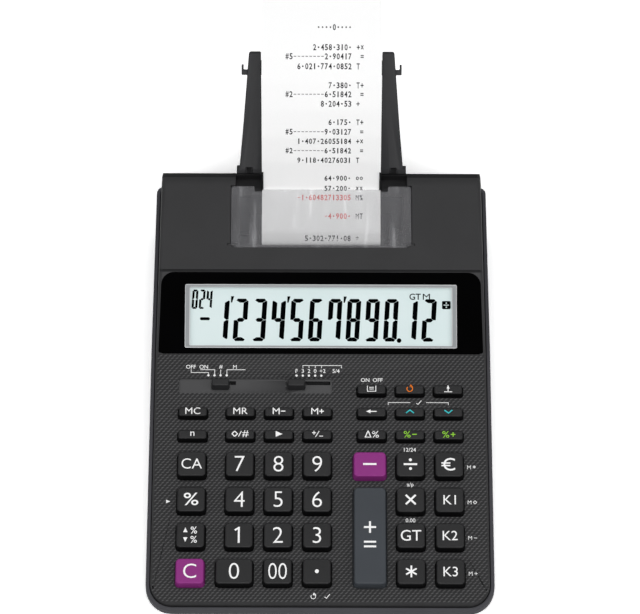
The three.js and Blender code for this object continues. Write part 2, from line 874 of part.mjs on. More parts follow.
// The middle of each switch's travel, and the left and right ends of its tray
const travelCentre = (each) =>
  each === functionSwitch ? sideColumn + each.fromSideKeys : numberColumn(2) - each.fromNumbers;
const functionTray = [sideColumn - functionSwitch.trayLeft, numberColumn(1) + functionSwitch.trayRight];
const decimalTray = [functionTray[1] + slider.trayGap, numberColumn(2) + decimalSwitch.trayRight];

// A slide switch: a knob on the tray, a neck through the slot and a foot under the keyboard. The neck stands
// under the knob's right end, so that the knob hides the slot on its left.
function makeSlider() {
  const { knobLength, knobDepth, knobHeight, knobDraft, knobFrontDraft, knobCorner } = slider;
  const rear = slotRow + slider.knobBehind;
  const sits = gap - slider.trayDepth;
  const level = (share, height) =>
    outline(
      rectangle(
        knobDraft * share - knobLength / 2,
        knobLength / 2 - knobDraft * share,
        rear - knobDepth + knobFrontDraft * share,
        rear,
        knobCorner,
      ),
    ).map(({ x, y }) => new Vector3(x, y, height));
  const knob = loft([level(0, sits), level(0, sits + knobHeight / 4), level(1, sits + knobHeight)]);
  const neckHalf = slider.slotWidth / 2 - gap;
  const underside = -upper.wall - gap;
  const neck = box(
    slider.neckAside - slider.neckLength / 2,
    slider.neckAside + slider.neckLength / 2,
    slotRow - neckHalf,
    slotRow + neckHalf,
    underside - slider.footThickness / 2,
    sits + knobHeight / 2,
  );
  const foot = box(
    -slider.footLength / 2,
    slider.footLength / 2,
    slotRow - slider.footDepth / 2,
    slotRow + slider.footDepth / 2,
    underside - slider.footThickness,
    underside,
  );
  return join(knob, neck, foot);
}

const sliderX = (each) => travelCentre(each) + (each.at - (each.stops - 1) / 2) * slider.stopPitch;

function makeWindow() {
  const { endInset, lowCorner, topCorner, thickness, cornerStep } = windowPlate;
  const corners = rectangle(-windowHalf, windowHalf, endInset, windowRear, lowCorner, topCorner);
  return plate(corners, -thickness, 0, undefined, cornerStep * degree);
}

function makeLcd() {
  const top = -windowPlate.thickness - gap;
  return box(-lcdHalf, lcdHalf, lcd.front, lcdRear, top - lcd.thickness, top);
}

// The cover's hinge pin: where its axis lies and how far it reaches to each side.
function coverPin() {
  const place = new Vector3(0, cover.front + cover.pinInset, -cover.thickness / 2).applyMatrix4(housingFrame);
  return { y: place.y, z: place.z, reach: coverHalf + cover.pinReach };
}

function makeCover() {
  const { front, notchDepth, notchWidth, corner } = cover;
  const notchInner = paper.halfWidth;
  const notchOuter = notchInner + notchWidth;
  const corners = [
    [-coverHalf, front, corner],
    [coverHalf, front, corner],
    [coverHalf, coverRear],
    [notchOuter, coverRear],
    [notchOuter, tearEdge - notchDepth],
    [notchInner, tearEdge - notchDepth],
    [notchInner, tearEdge],
    [-notchInner, tearEdge],
    [-notchInner, tearEdge - notchDepth],
    [-notchOuter, tearEdge - notchDepth],
    [-notchOuter, coverRear],
    [-coverHalf, coverRear],
  ];
  const pin = coverPin();
  const rodThrough = rod(cover.pinRadius, -pin.reach, pin.reach, pin.y, pin.z, 10);
  return join(plate(corners, -cover.thickness, 0, housingFrame, 30 * degree), rodThrough);
}

function makePrinterFrame() {
  const front = drum.y - printer.frontReach;
  const rear = front + printer.length;
  const top = platen.z + printer.topRise;
  const profile = [
    [front, frameLow],
    [rear, frameLow],
    [rear, platen.z - platen.radius],
    [platen.y + platen.radius, top],
    [drum.y - drum.radius, top],
    [front, drum.z],
  ];
  const sides = [-1, 1].map((side) => {
    const [left, right] = side < 0 ? [-plateOutside, -plateInside] : [plateInside, plateOutside];
    return across(profile, left, right);
  });
  const base = box(-plateOutside, plateOutside, front, rear, frameLow, frameLow + printer.baseThickness);
  const motorRight = -plateOutside + printer.plateThickness / 2;
  const canLeft = -plateOutside - motor.length;
  const canHeight = frameLow + motor.radius + motor.rise;
  const can = rod(motor.radius, canLeft, motorRight, platen.y - motor.ahead, canHeight, 24);
  const bearingLeft = -plateOutside - gap;
  const holes = [platen, drum].map(({ y, z }) =>
    rod(printer.shaftRadius + gap, bearingLeft, plateOutside + overrun, y, z, 14),
  );
  return cut(join(base, ...sides, can), ...holes);
}

// A toothed disc on a shaft along X.
function gear(radius, left, right, y, z) {
  const { gearTeeth, toothHeight } = printer;
  const toothShares = [
    [0, 0],
    [0.2, 1],
    [0.5, 1],
    [0.7, 0],
  ];
  const corners = Array.from({ length: gearTeeth }, (_, tooth) =>
    toothShares.map(([turnShare, heightShare]) => {
      const angle = ((tooth + turnShare) / gearTeeth) * 2 * Math.PI;
      const reach = radius - toothHeight * (1 - heightShare);
      return [y + reach * Math.cos(angle), z + reach * Math.sin(angle)];
    }),
  ).flat();
  return across(corners, left, right);
}

function makePlaten() {
  const { y, z, radius, halfLength, gearRadius } = platen;
  const gearLeft = plateOutside + gap;
  const gearRight = gearLeft + printer.gearThickness;
  return join(
    rod(radius, -halfLength, halfLength, y, z, 28),
    rod(printer.shaftRadius, -plateOutside + gap, gearRight + gap, y, z, 12),
    gear(gearRadius, gearLeft, gearRight, y, z),
  );
}

function makeDrum() {
  const { y, z, radius, halfLength, gearRadius, bands, bandDepth } = drum;
  const gearRight = -halfLength - gap;
  const pitch = (2 * halfLength) / (bands + 0.5);
  const rings = Array.from({ length: bands }, (_, k) => {
    const left = (k + 0.5) * pitch - halfLength;
    return rod(radius, left, left + pitch / 2, y, z, 16);
  });
  const shaftEnd = plateOutside - gap;
  return join(
    rod(radius - bandDepth, gearRight, halfLength, y, z, 16),
    ...rings,
    rod(printer.shaftRadius, -shaftEnd, shaftEnd, y, z, 12),
    gear(gearRadius, gearRight - printer.gearThickness, gearRight, y, z),
  );
}

// The angle at which a line from a point touches a circle, on the side given by the sign.
function touchAngle(circle, radius, point, sign) {
  const away = new Vector2(point.x - circle.y, point.y - circle.z);
  return Math.atan2(away.y, away.x) + sign * Math.acos(radius / away.length());
}

const onCircle = (circle, radius, angle) => [
  circle.y + radius * Math.cos(angle),
  circle.z + radius * Math.sin(angle),
];
const arcPoints = (circle, radius, from, to, steps) =>
  Array.from({ length: steps + 1 }, (_, k) => onCircle(circle, radius, from + ((to - from) * k) / steps));

const slotHeight = platen.z + paper.slotRise;

// The strip's middle line in the side view, from the roll through the printer to its free end.
function paperLine() {
  const half = paper.thickness / 2;
  const rollReach = roll.radius + gap + half;
  const platenReach = platen.radius + gap + half;
  const slot = new Vector2(backWall(slotHeight), slotHeight);
  const leavesRoll = touchAngle(roll, rollReach, slot, 1);
  const meetsPlaten = touchAngle(platen, platenReach, slot, -1);
  const platenTop = platen.z + platen.radius + paper.platenRise;
  const rises = new Vector2(platen.y - paper.platenLean, platenTop);
  const meetsCover = inHousing(cover.front + paper.meetsCover, -cover.thickness - paper.meetGap);
  const exit = inHousing(tearEdge + paper.exitBehind, -cover.thickness - paper.exitGap);
  const leavesPlaten = touchAngle(platen, platenReach, rises, 1) - 2 * Math.PI;
  const turn = (paper.riseAngle - paper.endAngle) / 2;
  const reach = paper.curlRadius * Math.tan(turn * degree);
  const bend = along(exit, paper.riseAngle, paper.bendRadius + reach);
  const end = along(bend, paper.endAngle, reach + paper.tail);
  const corners = [
    onCircle(roll, rollReach, leavesRoll),
    [slot.x, slot.y, paper.bendRadius],
    ...arcPoints(platen, platenReach, meetsPlaten, leavesPlaten, 8),
    [rises.x, rises.y, paper.bendRadius],
    [meetsCover.x, meetsCover.y, paper.bendRadius],
    [exit.x, exit.y, paper.bendRadius],
    [bend.x, bend.y, paper.curlRadius],
    [end.x, end.y],
  ];
  return outline(corners, 7 * degree);
}

function makePaperTape() {
  const line = paperLine();
  const half = paper.thickness / 2;
  const edges = [...offsetLine(line, half), ...offsetLine(line, -half).toReversed()];
  const corners = edges.map(({ x, y }) => [x, y]);
  return across(corners, -paper.halfWidth, paper.halfWidth);
}

function makePaperRoll() {
  const { radius, boreRadius, y, z } = roll;
  const halfLength = paper.halfWidth - roll.sideGap;
  const profile = [
    new Vector2(boreRadius, -halfLength),
    new Vector2(radius, -halfLength),
    new Vector2(radius, halfLength),
    new Vector2(boreRadius, halfLength),
    new Vector2(boreRadius, -halfLength),
  ];
  const geometry = new THREE.LatheGeometry(profile, 44);
  return solid(geometry.rotateZ(90 * degree).translate(0, y, z));
}

// The left paper arm: a tapered blade on a slotted barrel, with a hub for the roll and a hook outside it.
function makeArm() {
  const { x: hingeY, y: hingeZ } = armHinge;
  const run = new Vector2(roll.y, roll.z).sub(armHinge);
  const blade = new Matrix4()
    .makeTranslation(0, hingeY, hingeZ)
    .multiply(new Matrix4().makeRotationX(run.angle() - 90 * degree));
  const tip = run.length() + arm.tipBeyondRoll;
  const section = (height, trim) => {
    const share = height / tip;
    const outer = beside(THREE.MathUtils.lerp(arm.baseOuter, arm.tipOuter, share)) - trim;
    const inner = beside(THREE.MathUtils.lerp(arm.baseInner, arm.tipInner, share)) + trim / 2;
    const half = THREE.MathUtils.lerp(arm.baseThickness, arm.tipThickness, share) / 2 - trim;
    return rectangle(-outer, -inner, -half, half).map(([x, y]) => new Vector3(x, y, height));
  };
  const sections = [section(0, 0), section(tip - arm.tipChamfer, 0), section(tip, arm.tipChamfer)];
  const [lugLeft, lugRight] = [-beside(arm.lugOuter), -beside(arm.lugInner)];
  const barrel = rod(arm.barrelRadius, -beside(arm.barrelReach), -beside(arm.baseInner), hingeY, hingeZ, 24);
  const slot = rod(arm.barrelRadius + 2 * gap, lugLeft, lugRight, hingeY, hingeZ, 24);
  const pin = rod(arm.pinRadius, lugLeft - gap, lugRight + gap, hingeY, hingeZ, 12);
  const hubRoot = -beside(arm.tipInner);
  const hub = rod(arm.hubRadius, hubRoot - gap, hubRoot + arm.hubReach, roll.y, roll.z, 20);
  const hookBase = run.length() - arm.hookBelow;
  const hookInner = -beside(arm.tipOuter);
  const hookOuter = hookInner - arm.hookReach;
  const halfDepth = arm.hookDepth / 2;
  const hookPiece = (right, height) =>
    box(hookOuter, right, -halfDepth, halfDepth, hookBase, hookBase + height, blade);
  const foot = hookPiece(hookInner + arm.hookThickness, arm.hookFoot);
  const upright = hookPiece(hookOuter + arm.hookThickness, arm.hookHeight);
  return join(cut(join(loft(sections, blade), barrel), slot), pin, hub, foot, upright);
}

// The keys by name, column, row and size. The wide zero key ends where the keys over it end.
const wideColumn = numberColumn(0) - (wide.width - square.width) / 2;
const tallRow = (rowAt(0) + rowAt(2)) / 2;
const magenta = material.keyMagenta;

const keyList = [
  ["key_clear", sideColumn, rowAt(0), square, magenta],
  ["key_markup", sideColumn, rowAt(1), square],
  ["key_percent", sideColumn, rowAt(2), square],
  ["key_clear_all", sideColumn, rowAt(3), square],
  ["key_0", wideColumn, rowAt(0), wide],
  ["key_00", numberColumn(1), rowAt(0), square],
  ["key_point", numberColumn(2), rowAt(0), square],
  ...Array.from({ length: 9 }, (_, k) => [
    `key_${k + 1}`,
    numberColumn(k % 3),
    rowAt(1 + Math.floor(k / 3)),
    square,
  ]),
  ["key_add_equals", operatorColumn, tallRow, tall, material.keyGrey],
  ["key_subtract", operatorColumn, rowAt(3), minus, magenta],
  ["key_total", functionColumn, rowAt(0), square],
  ["key_grand_total", functionColumn, rowAt(1), square],
  ["key_multiply", functionColumn, rowAt(2), square],
  ["key_divide", functionColumn, rowAt(3), square],
  ["key_memory_3", lastColumn, rowAt(0), square],
  ["key_memory_2", lastColumn, rowAt(1), square],
  ["key_memory_1", lastColumn, rowAt(2), square],
  ["key_euro", lastColumn, rowAt(3), square],
  ["key_item", sideColumn, smallRowAt(0), small],
  ["key_non_add", numberColumn(0), smallRowAt(0), small],
  ["key_shift", numberColumn(1), smallRowAt(0), small],
  ["key_sign", numberColumn(2), smallRowAt(0), small],
  ["key_delta_percent", printColumn, smallRowAt(0), small],
  ["key_tax_minus", functionColumn, smallRowAt(0), small],
  ["key_tax_plus", lastColumn, smallRowAt(0), small],
  ["key_time", sideColumn, smallRowAt(1), small],
  ["key_cost", numberColumn(0), smallRowAt(1), small],
  ["key_sell", numberColumn(1), smallRowAt(1), small],
  ["key_margin", numberColumn(2), smallRowAt(1), small],
  ["key_correct", printColumn, smallRowAt(1), small],
  ["key_check_up", functionColumn, smallRowAt(1), small],
  ["key_check_down", lastColumn, smallRowAt(1), small],
  ["key_print", printColumn, smallRowAt(2), small],
  ["key_reprint", functionColumn, smallRowAt(2), small],
  ["key_feed", lastColumn, smallRowAt(2), small],
].map(([name, x, y, size, finish = material.keyBlack]) => ({ name, x, y, size, finish }));

// The assembly
const calculator = new THREE.Group();
calculator.position.y = -(roll.y + roll.radius) / 2;

function frameGroup(frame) {
  const group = new THREE.Group();
  group.applyMatrix4(frame);
  calculator.add(group);
  return group;
}
const keyboardGroup = frameGroup(keyboardFrame);
const displayGroup = frameGroup(displayFrame);

function place(name, body, finish, parent = calculator) {
  const mesh = new THREE.Mesh(geometryOf(body), finish);
  mesh.name = name;
  parent.add(mesh);
  return mesh;
}

place("upper_case", makeUpperCase(keyList), material.caseBlack);
place("lower_case", makeLowerCase(), material.rimBlack);
place("battery_cover", batteryCoverShape(0), material.rimBlack);
place("display_window", makeWindow(), material.gloss, displayGroup);
place("lcd_module", makeLcd(), material.glass, displayGroup);
place("key_mat", makeKeyMat(keyList), material.rubber, keyboardGroup);
place("main_board", makeBoard(), material.boardGreen, keyboardGroup);
place("function_switch", makeSlider(), material.keyBlack, keyboardGroup).position.x = sliderX(functionSwitch);
place("decimal_switch", makeSlider(), material.keyBlack, keyboardGroup).position.x = sliderX(decimalSwitch);
place("printer_cover", makeCover(), material.smoked);
place("printer_frame", makePrinterFrame(), material.frameGrey);
place("platen_roller", makePlaten(), material.rollerRubber);
place("print_drum", makeDrum(), material.keyGrey);
place("paper_tape", makePaperTape(), material.paperWhite);
place("paper_roll", makePaperRoll(), material.paperWhite);
const armBody = makeArm();
place("paper_arm_left", armBody, material.caseBlack);
place("paper_arm_right", armBody, material.caseBlack).scale.x = -1;
for (const { name, x, y, size, finish } of keyList)
  place(name, makeKey(size), finish, keyboardGroup).position.set(x, y, 0);

export default calculator;
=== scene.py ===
# The looks of a desktop printing calculator: its two cases, keys and legends, tilted display, smoked
# printer cover, paper and roll, arms, printer and underside, on a pale floor in soft studio light.
# Places on the object are millimetres in the frame of the face that they lie on, and a frame turns them
# into metres in the row frame. +X is right, +Y is away from the person who types and +Z is up.
import json
import math

import bmesh
import bpy
from mathutils import Matrix, Vector

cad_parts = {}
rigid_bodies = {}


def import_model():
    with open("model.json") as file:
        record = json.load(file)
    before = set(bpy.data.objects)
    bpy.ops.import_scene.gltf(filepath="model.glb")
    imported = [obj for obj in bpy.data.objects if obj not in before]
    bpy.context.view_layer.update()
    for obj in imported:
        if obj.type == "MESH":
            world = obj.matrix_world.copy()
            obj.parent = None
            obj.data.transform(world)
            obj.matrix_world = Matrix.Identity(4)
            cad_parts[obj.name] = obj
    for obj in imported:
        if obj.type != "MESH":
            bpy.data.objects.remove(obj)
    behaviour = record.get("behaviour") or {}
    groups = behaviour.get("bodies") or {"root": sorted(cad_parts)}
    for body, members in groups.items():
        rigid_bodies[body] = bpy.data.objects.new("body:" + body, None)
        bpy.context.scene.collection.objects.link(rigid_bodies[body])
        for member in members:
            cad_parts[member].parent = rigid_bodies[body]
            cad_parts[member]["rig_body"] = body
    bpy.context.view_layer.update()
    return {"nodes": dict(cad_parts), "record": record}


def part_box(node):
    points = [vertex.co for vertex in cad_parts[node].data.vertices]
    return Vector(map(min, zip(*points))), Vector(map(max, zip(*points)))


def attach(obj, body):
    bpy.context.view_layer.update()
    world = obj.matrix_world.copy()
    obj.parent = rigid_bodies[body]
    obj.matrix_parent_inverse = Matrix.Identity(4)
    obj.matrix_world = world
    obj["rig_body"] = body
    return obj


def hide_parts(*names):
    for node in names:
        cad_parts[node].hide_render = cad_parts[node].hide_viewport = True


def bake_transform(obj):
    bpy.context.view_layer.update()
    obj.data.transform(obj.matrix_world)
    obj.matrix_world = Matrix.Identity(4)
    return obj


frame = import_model()

MM = 0.001

# Slopes in degrees and lengths along the slope of the case's top, from front to back
KEYBOARD_START = (2.2, 20)
KEYBOARD_SLOPE, KEYBOARD_LENGTH = 8, 126
DISPLAY_SLOPE, DISPLAY_LENGTH = 21.5, 40.4
STEP_SLOPE, STEP_LENGTH = 60, 1.5
HOUSING_SLOPE, HOUSING_LENGTH = 11, 43.8


def node_box(name):
    """A node's lowest and highest corner in millimetres."""
    return [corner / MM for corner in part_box(name)]


CASE_FRONT = node_box("lower_case")[0].y


def sloping(place, slope):
    """The frame of a face that starts at (Y, Z) in the case and rises by slope degrees to the back."""
    start = Matrix.Translation((0, (CASE_FRONT + place[0]) * MM, place[1] * MM))
    return start @ Matrix.Rotation(math.radians(slope), 4, "X") @ Matrix.Scale(MM, 4)


def onward(place, slope, length):
    """The place reached from (Y, Z) by going length along a slope."""
    angle = math.radians(slope)
    return place[0] + length * math.cos(angle), place[1] + length * math.sin(angle)


DISPLAY_START = onward(KEYBOARD_START, KEYBOARD_SLOPE, KEYBOARD_LENGTH)
DISPLAY_END = onward(DISPLAY_START, DISPLAY_SLOPE, DISPLAY_LENGTH)
HOUSING_START = onward(DISPLAY_END, STEP_SLOPE, STEP_LENGTH)
KEYBOARD = sloping(KEYBOARD_START, KEYBOARD_SLOPE)
DISPLAY = sloping(DISPLAY_START, DISPLAY_SLOPE)
HOUSING = sloping(HOUSING_START, HOUSING_SLOPE)


def node_points(name, place):
    """A node's points in the millimetres of one of the frames above."""
    inward = place.inverted()
    return [inward @ vertex.co for vertex in frame["nodes"][name].data.vertices]


def limits(points):
    """The lowest and highest corner of a list of points."""
    low = Vector([min(point[axis] for point in points) for axis in range(3)])
    high = Vector([max(point[axis] for point in points) for axis in range(3)])
    return low, high


# Outlines and solids


def outline(corners, step=15):
    """The points of an outline with corners (x, y, radius), each rounded corner drawn as an arc."""
    points = []
    for i, (x, y, radius) in enumerate(corners):
        corner = Vector((x, y))
        if not radius:
            points.append(corner)
            continue
        before = (Vector(corners[i - 1][:2]) - corner).normalized()
        after = (Vector(corners[(i + 1) % len(corners)][:2]) - corner).normalized()
        half = before.angle(after) / 2
        start = before * radius / math.tan(half)
        middle = (before + after).normalized() * radius / math.sin(half)
        turn = math.copysign(math.pi - 2 * half, -before.cross(after))
        steps = max(1, round(abs(turn) / math.radians(step)))
        for k in range(steps + 1):
            points.append(corner + middle + Matrix.Rotation(turn * k / steps, 2) @ (start - middle))
    return points


def rectangle(left, right, front, rear, front_radius=0.0, rear_radius=None):
    """The corners of a rectangle."""
    rear_radius = front_radius if rear_radius is None else rear_radius
    return [
        (left, front, front_radius),
        (right, front, front_radius),
        (right, rear, rear_radius),
        (left, rear, rear_radius),
    ]


def at_height(points, height):
    return [Vector((point.x, point.y, height)) for point in points]


def loft(rings, closed=True):
    """Points and faces of a skin through rings of equally many points, with flat ends where closed."""
    count = len(rings[0])
    faces = []
    for ring in range(len(rings) - 1):
        for i in range(count):
            a, b = ring * count + i, ring * count + (i + 1) % count
            faces.append((a, b, b + count, a + count))
    if closed:
        top = (len(rings) - 1) * count
        faces.append(tuple(reversed(range(count))))
        faces.append(tuple(range(top, top + count)))
    return [point for ring in rings for point in ring], faces


def ring_loft(outer, inner):
    """Points and faces of a closed frame, from the rings round its outside and those round its hole,
    bottom first."""
    rings = outer + list(reversed(inner))
    points, faces = loft(rings, closed=False)
    count, last = len(rings[0]), (len(rings) - 1) * len(rings[0])
    for i in range(count):
        following = (i + 1) % count
        faces.append((last + i, last + following, following, i))
    return points, faces


def prism(points, low, high):
    return loft([at_height(points, low), at_height(points, high)])


def turned(profile, steps):
    """Points and faces of a closed solid turned round the X axis from (x, radius) points."""
    rings = []
    for k in range(steps):
        angle = 2 * math.pi * k / steps
        rings.append([Vector((x, r * math.cos(angle), r * math.sin(angle))) for x, r in profile])
    points, faces = loft([*rings, rings[0]], closed=False)
    count = len(profile)
    total = count * steps
    return points[:total], [tuple(i % total for i in face) for face in faces]


def rod(start, end, radius, steps, tip=0.001):
    """Points and faces of a round bar along the X axis."""
    return turned([(start, tip), (start, radius), (end, radius), (end, tip)], steps)


class Shape:
    """Points and faces gathered from several solids, for one object."""

    def __init__(self):
        self.points = []
        self.faces = []

    def add(self, solid, move=Matrix.Identity(4)):
        points, faces = solid
        base = len(self.points)
        self.points += [move @ Vector(point) for point in points]
        self.faces += [tuple(i + base for i in face) for face in faces]
        return self


def new_object(name, data):
    made = bpy.data.objects.new(name, data)
    bpy.context.scene.collection.objects.link(made)
    return made


def finish_piece(piece, material, body, slot=None, smooth=30):
    """What each piece gets: its finish, its shading and the body that it rides on. slot is not used."""
    if material:
        piece.data.materials.clear()
        piece.data.materials.append(material)
    piece.data.shade_smooth()
    piece.data.set_sharp_from_angle(angle=math.radians(smooth))
    if body:
        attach(piece, body)
    return piece


def make_piece(name, solid, place, material, body, slot=None, smooth=30):
    """An object from points and faces, or from a Shape, in the millimetres of one of the frames."""
    points, faces = (solid.points, solid.faces) if isinstance(solid, Shape) else solid
    mesh = bpy.data.meshes.new(name)
    mesh.from_pydata([place @ Vector(point) for point in points], [], faces)
    with_normals(mesh)
    return finish_piece(new_object(name, mesh), material, body, slot, smooth)


def with_normals(mesh):
    """All faces pointing out, and no two points in one place."""
    work = bmesh.new()
    work.from_mesh(mesh)
    bmesh.ops.remove_doubles(work, verts=work.verts, dist=0.0005 * MM)
    bmesh.ops.recalc_face_normals(work, faces=work.faces)
    work.to_mesh(mesh)
    work.free()


def merged(data, reach, flat):
    """A mesh to work on: points within reach millimetres are merged, and faces that lie flat to within
    some degrees are joined."""
    work = bmesh.new()
    work.from_mesh(data)
    bmesh.ops.remove_doubles(work, verts=work.verts, dist=reach * MM)
    bmesh.ops.dissolve_limit(work, angle_limit=math.radians(flat), verts=work.verts, edges=work.edges)
    return work


def node_copy(node, name, material, slot=None, smooth=30):
    """A piece that replaces a node and starts as its shape, with flat faces made whole."""
    source = frame["nodes"][node]
    work = merged(source.data, 0.05, 0.6)
    mesh = bpy.data.meshes.new(name)
    work.to_mesh(mesh)
    work.free()
    piece = finish_piece(new_object(name, mesh), material, source["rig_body"], slot, smooth)
    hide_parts(node)
    return piece


def round_edges(piece, width, angle=30, segments=2, broad=None, broad_width=0):
    """Rounds each edge sharper than angle, by less where a short edge leaves no room. The edges for which
    broad is true are rounded by broad_width."""
    work = bmesh.new()
    work.from_mesh(piece.data)
    share = work.edges.layers.float.get("bevel_weight_edge")
    share = share or work.edges.layers.float.new("bevel_weight_edge")
    sharp = {edge for edge in work.edges if edge.calc_face_angle(0) > math.radians(angle)}
    most = max(width, broad_width)
    for edge in sharp:
        wide = bool(broad and broad(edge))
        room = room_beside(edge, sharp, broad if wide else None)
        edge[share] = min(broad_width if wide else width, room) / most
    work.to_mesh(piece.data)
    work.free()
    bevel = piece.modifiers.new("rounded edges", "BEVEL")
    bevel.width = most * MM
    bevel.segments = segments
    bevel.limit_method = "WEIGHT"
    bevel.use_clamp_overlap = False
    bevel.harden_normals = False
    return piece


def room_beside(edge, sharp, broad):
    """How far an edge may be rounded before it runs over the end of one beside it, in millimetres."""
    faces = set(edge.link_faces)
    along = (edge.verts[1].co - edge.verts[0].co).normalized()
    room = 10.0
    for vertex in edge.verts:
        for other in vertex.link_edges:
            if other is edge or not faces & set(other.link_faces):
                continue
            way = (other.other_vert(vertex).co - vertex.co).normalized()
            if other in sharp and (abs(way.dot(along)) > 0.75 or broad and broad(other)):
                continue
            room = min(room, 0.4 * other.calc_length() / MM)
    return room


# Materials


def tone(red, green, blue):
    """A screen colour of 0 to 255 as the renderer's linear colour."""
    shares = [value / 255 for value in (red, green, blue)]
    linear = [s / 12.92 if s <= 0.04045 else ((s + 0.055) / 1.055) ** 2.4 for s in shares]
    return (*linear, 1)


def node_in(tree, kind, inputs=None, **settings):
    made = tree.nodes.new(kind)
    for name, value in settings.items():
        setattr(made, name, value)
    for name, value in (inputs or {}).items():
        if isinstance(value, bpy.types.NodeSocket):
            tree.links.new(value, made.inputs[name])
        else:
            made.inputs[name].default_value = value
    return made


def new_material(name, **sockets):
    material = bpy.data.materials.new(name)
    material.use_nodes = True
    tree = material.node_tree
    shader = tree.nodes["Principled BSDF"]
    for socket, value in sockets.items():
        shader.inputs[socket.replace("_", " ")].default_value = value
    return material, tree, shader


def paint(tree, shader, factor, *stops):
    """Colours the surface by a ramp with stops (place, colour)."""
    made = node_in(tree, "ShaderNodeValToRGB", {"Fac": factor})
    while len(made.color_ramp.elements) < len(stops):
        made.color_ramp.elements.new(0.5)
    for element, (place, colour) in zip(made.color_ramp.elements, stops):
        element.position = place
        element.color = colour
    tree.links.new(made.outputs["Color"], shader.inputs["Base Color"])


def scaled(colour, factor):
    return (*(min(1, part * factor) for part in colour[:3]), 1)


def object_place(tree):
    return node_in(tree, "ShaderNodeTexCoord").outputs["Object"]


def mapping(tree, place, **sockets):
    return node_in(tree, "ShaderNodeMapping", {"Vector": place, **sockets}).outputs["Vector"]


def noise(tree, size, detail=2.0, place=None):
    """Noise with features of a size in millimetres."""
    sockets = {"Vector": place or object_place(tree), "Scale": 1 / (size * MM), "Detail": detail}
    return node_in(tree, "ShaderNodeTexNoise", sockets).outputs["Fac"]


def bump(tree, shader, height, depth):
    """Raises the surface by up to depth millimetres."""
    sockets = {"Height": height, "Distance": depth * MM, "Strength": 1.0}
    made = node_in(tree, "ShaderNodeBump", sockets)
    tree.links.new(made.outputs["Normal"], shader.inputs["Normal"])


def roughen(tree, shader, factor, low, high):
    """Lets the roughness drift between two values."""
    made = node_in(tree, "ShaderNodeMapRange", {"Value": factor, "To Min": low, "To Max": high})
    tree.links.new(made.outputs["Result"], shader.inputs["Roughness"])


def plastic(name, colour, roughness, shine=0.17, grain=0.16, depth=0.006):
    """Moulded plastic: a fine grain, and a colour and gloss that drift slightly."""
    material, tree, shader = new_material(name, Specular_IOR_Level=shine)
    paint(tree, shader, noise(tree, 22), (0.3, scaled(colour, 0.95)), (0.7, scaled(colour, 1.05)))
    fine = noise(tree, grain, 3)
    roughen(tree, shader, fine, roughness - 0.05, roughness + 0.05)
    bump(tree, shader, fine, depth)
    return material


def ink(name, colour, gloss=0.08):
    """Printed ink that covers a little unevenly."""
    material, tree, shader = new_material(name, Roughness=0.6, Specular_IOR_Level=gloss)
    paint(tree, shader, noise(tree, 0.5), (0.25, scaled(colour, 0.93)), (0.6, colour))
    return material


# The keyboard's pattern: short raised dashes that rise to the right, in staggered rows
DASH_PITCH, DASH_ROW = 2.25, 1.3
DASH_LENGTH, DASH_WIDTH, DASH_SLOPE = 1.9, 0.66, 27
# A dash's height runs from nothing to all between these distances from its middle, in shares of its half
DASH_FOOT, DASH_CREST = 1.25, 0.35


def arithmetic(tree, operation, *values, kind="ShaderNodeMath", output="Value"):
    return node_in(tree, kind, dict(enumerate(values)), operation=operation).outputs[output]


def textured_deck():
    """The deck's plastic, which stands out by where a point lies in its dash."""
    material, tree, shader = new_material("deck plastic", Roughness=0.55, Specular_IOR_Level=0.17)
    slope = (math.radians(-KEYBOARD_SLOPE), 0, 0)
    level = mapping(tree, object_place(tree), Rotation=slope, Scale=(1 / MM, 1 / MM, 1 / MM))
    sides = node_in(tree, "ShaderNodeSeparateXYZ", {"Vector": level})
    up = arithmetic(tree, "DIVIDE", sides.outputs["Y"], DASH_ROW)
    along = arithmetic(tree, "DIVIDE", sides.outputs["X"], DASH_PITCH)
    along = arithmetic(tree, "MULTIPLY_ADD", arithmetic(tree, "FLOOR", up), 0.5, along)
    x = arithmetic(tree, "MULTIPLY_ADD", arithmetic(tree, "FRACT", along), DASH_PITCH, -DASH_PITCH / 2)
    y = arithmetic(tree, "MULTIPLY_ADD", arithmetic(tree, "FRACT", up), DASH_ROW, -DASH_ROW / 2)
    in_cell = node_in(tree, "ShaderNodeCombineXYZ", {"X": x, "Y": y}).outputs["Vector"]
    in_dash = mapping(tree, in_cell, Rotation=(0, 0, math.radians(-DASH_SLOPE)))
    stretched = mapping(tree, in_dash, Scale=(2 / DASH_LENGTH, 2 / DASH_WIDTH, 1))
    away = arithmetic(tree, "LENGTH", stretched, kind="ShaderNodeVectorMath")
    edge = {"Value": away, "From Min": DASH_FOOT, "From Max": DASH_CREST}
    made = node_in(tree, "ShaderNodeMapRange", edge, interpolation_type="SMOOTHSTEP")
    raised = made.outputs["Result"]
    paint(tree, shader, raised, (0.0, tone(41, 41, 42)), (1.0, tone(82, 82, 83)))
    bump(tree, shader, raised, 0.12)
    return material


def smoked_plastic():
    """Tinted clear plastic with faint streaks along it; the lighter streaks are painted highlight."""
    material, tree, shader = new_material("smoked plastic", Specular_IOR_Level=0.2, Alpha=0.25)
    highlight_streaks = noise(tree, 3.4, 1.5, mapping(tree, object_place(tree), Scale=(1, 0.13, 0.13)))
    stops = (0.3, tone(118, 118, 121)), (0.62, tone(132, 132, 135)), (0.74, tone(190, 190, 193))
    paint(tree, shader, highlight_streaks, *stops)
    roughen(tree, shader, noise(tree, 3), 0.08, 0.2)
    bump(tree, shader, noise(tree, 9), 0.03)
    return material


def glossy_black():
    material, tree, shader = new_material("glossy black", Specular_IOR_Level=0.05)
    paint(tree, shader, noise(tree, 30), (0.3, tone(1, 1, 1)), (0.7, tone(2, 2, 3)))
    roughen(tree, shader, noise(tree, 12), 0.04, 0.09)
    bump(tree, shader, noise(tree, 16), 0.01)
    return material


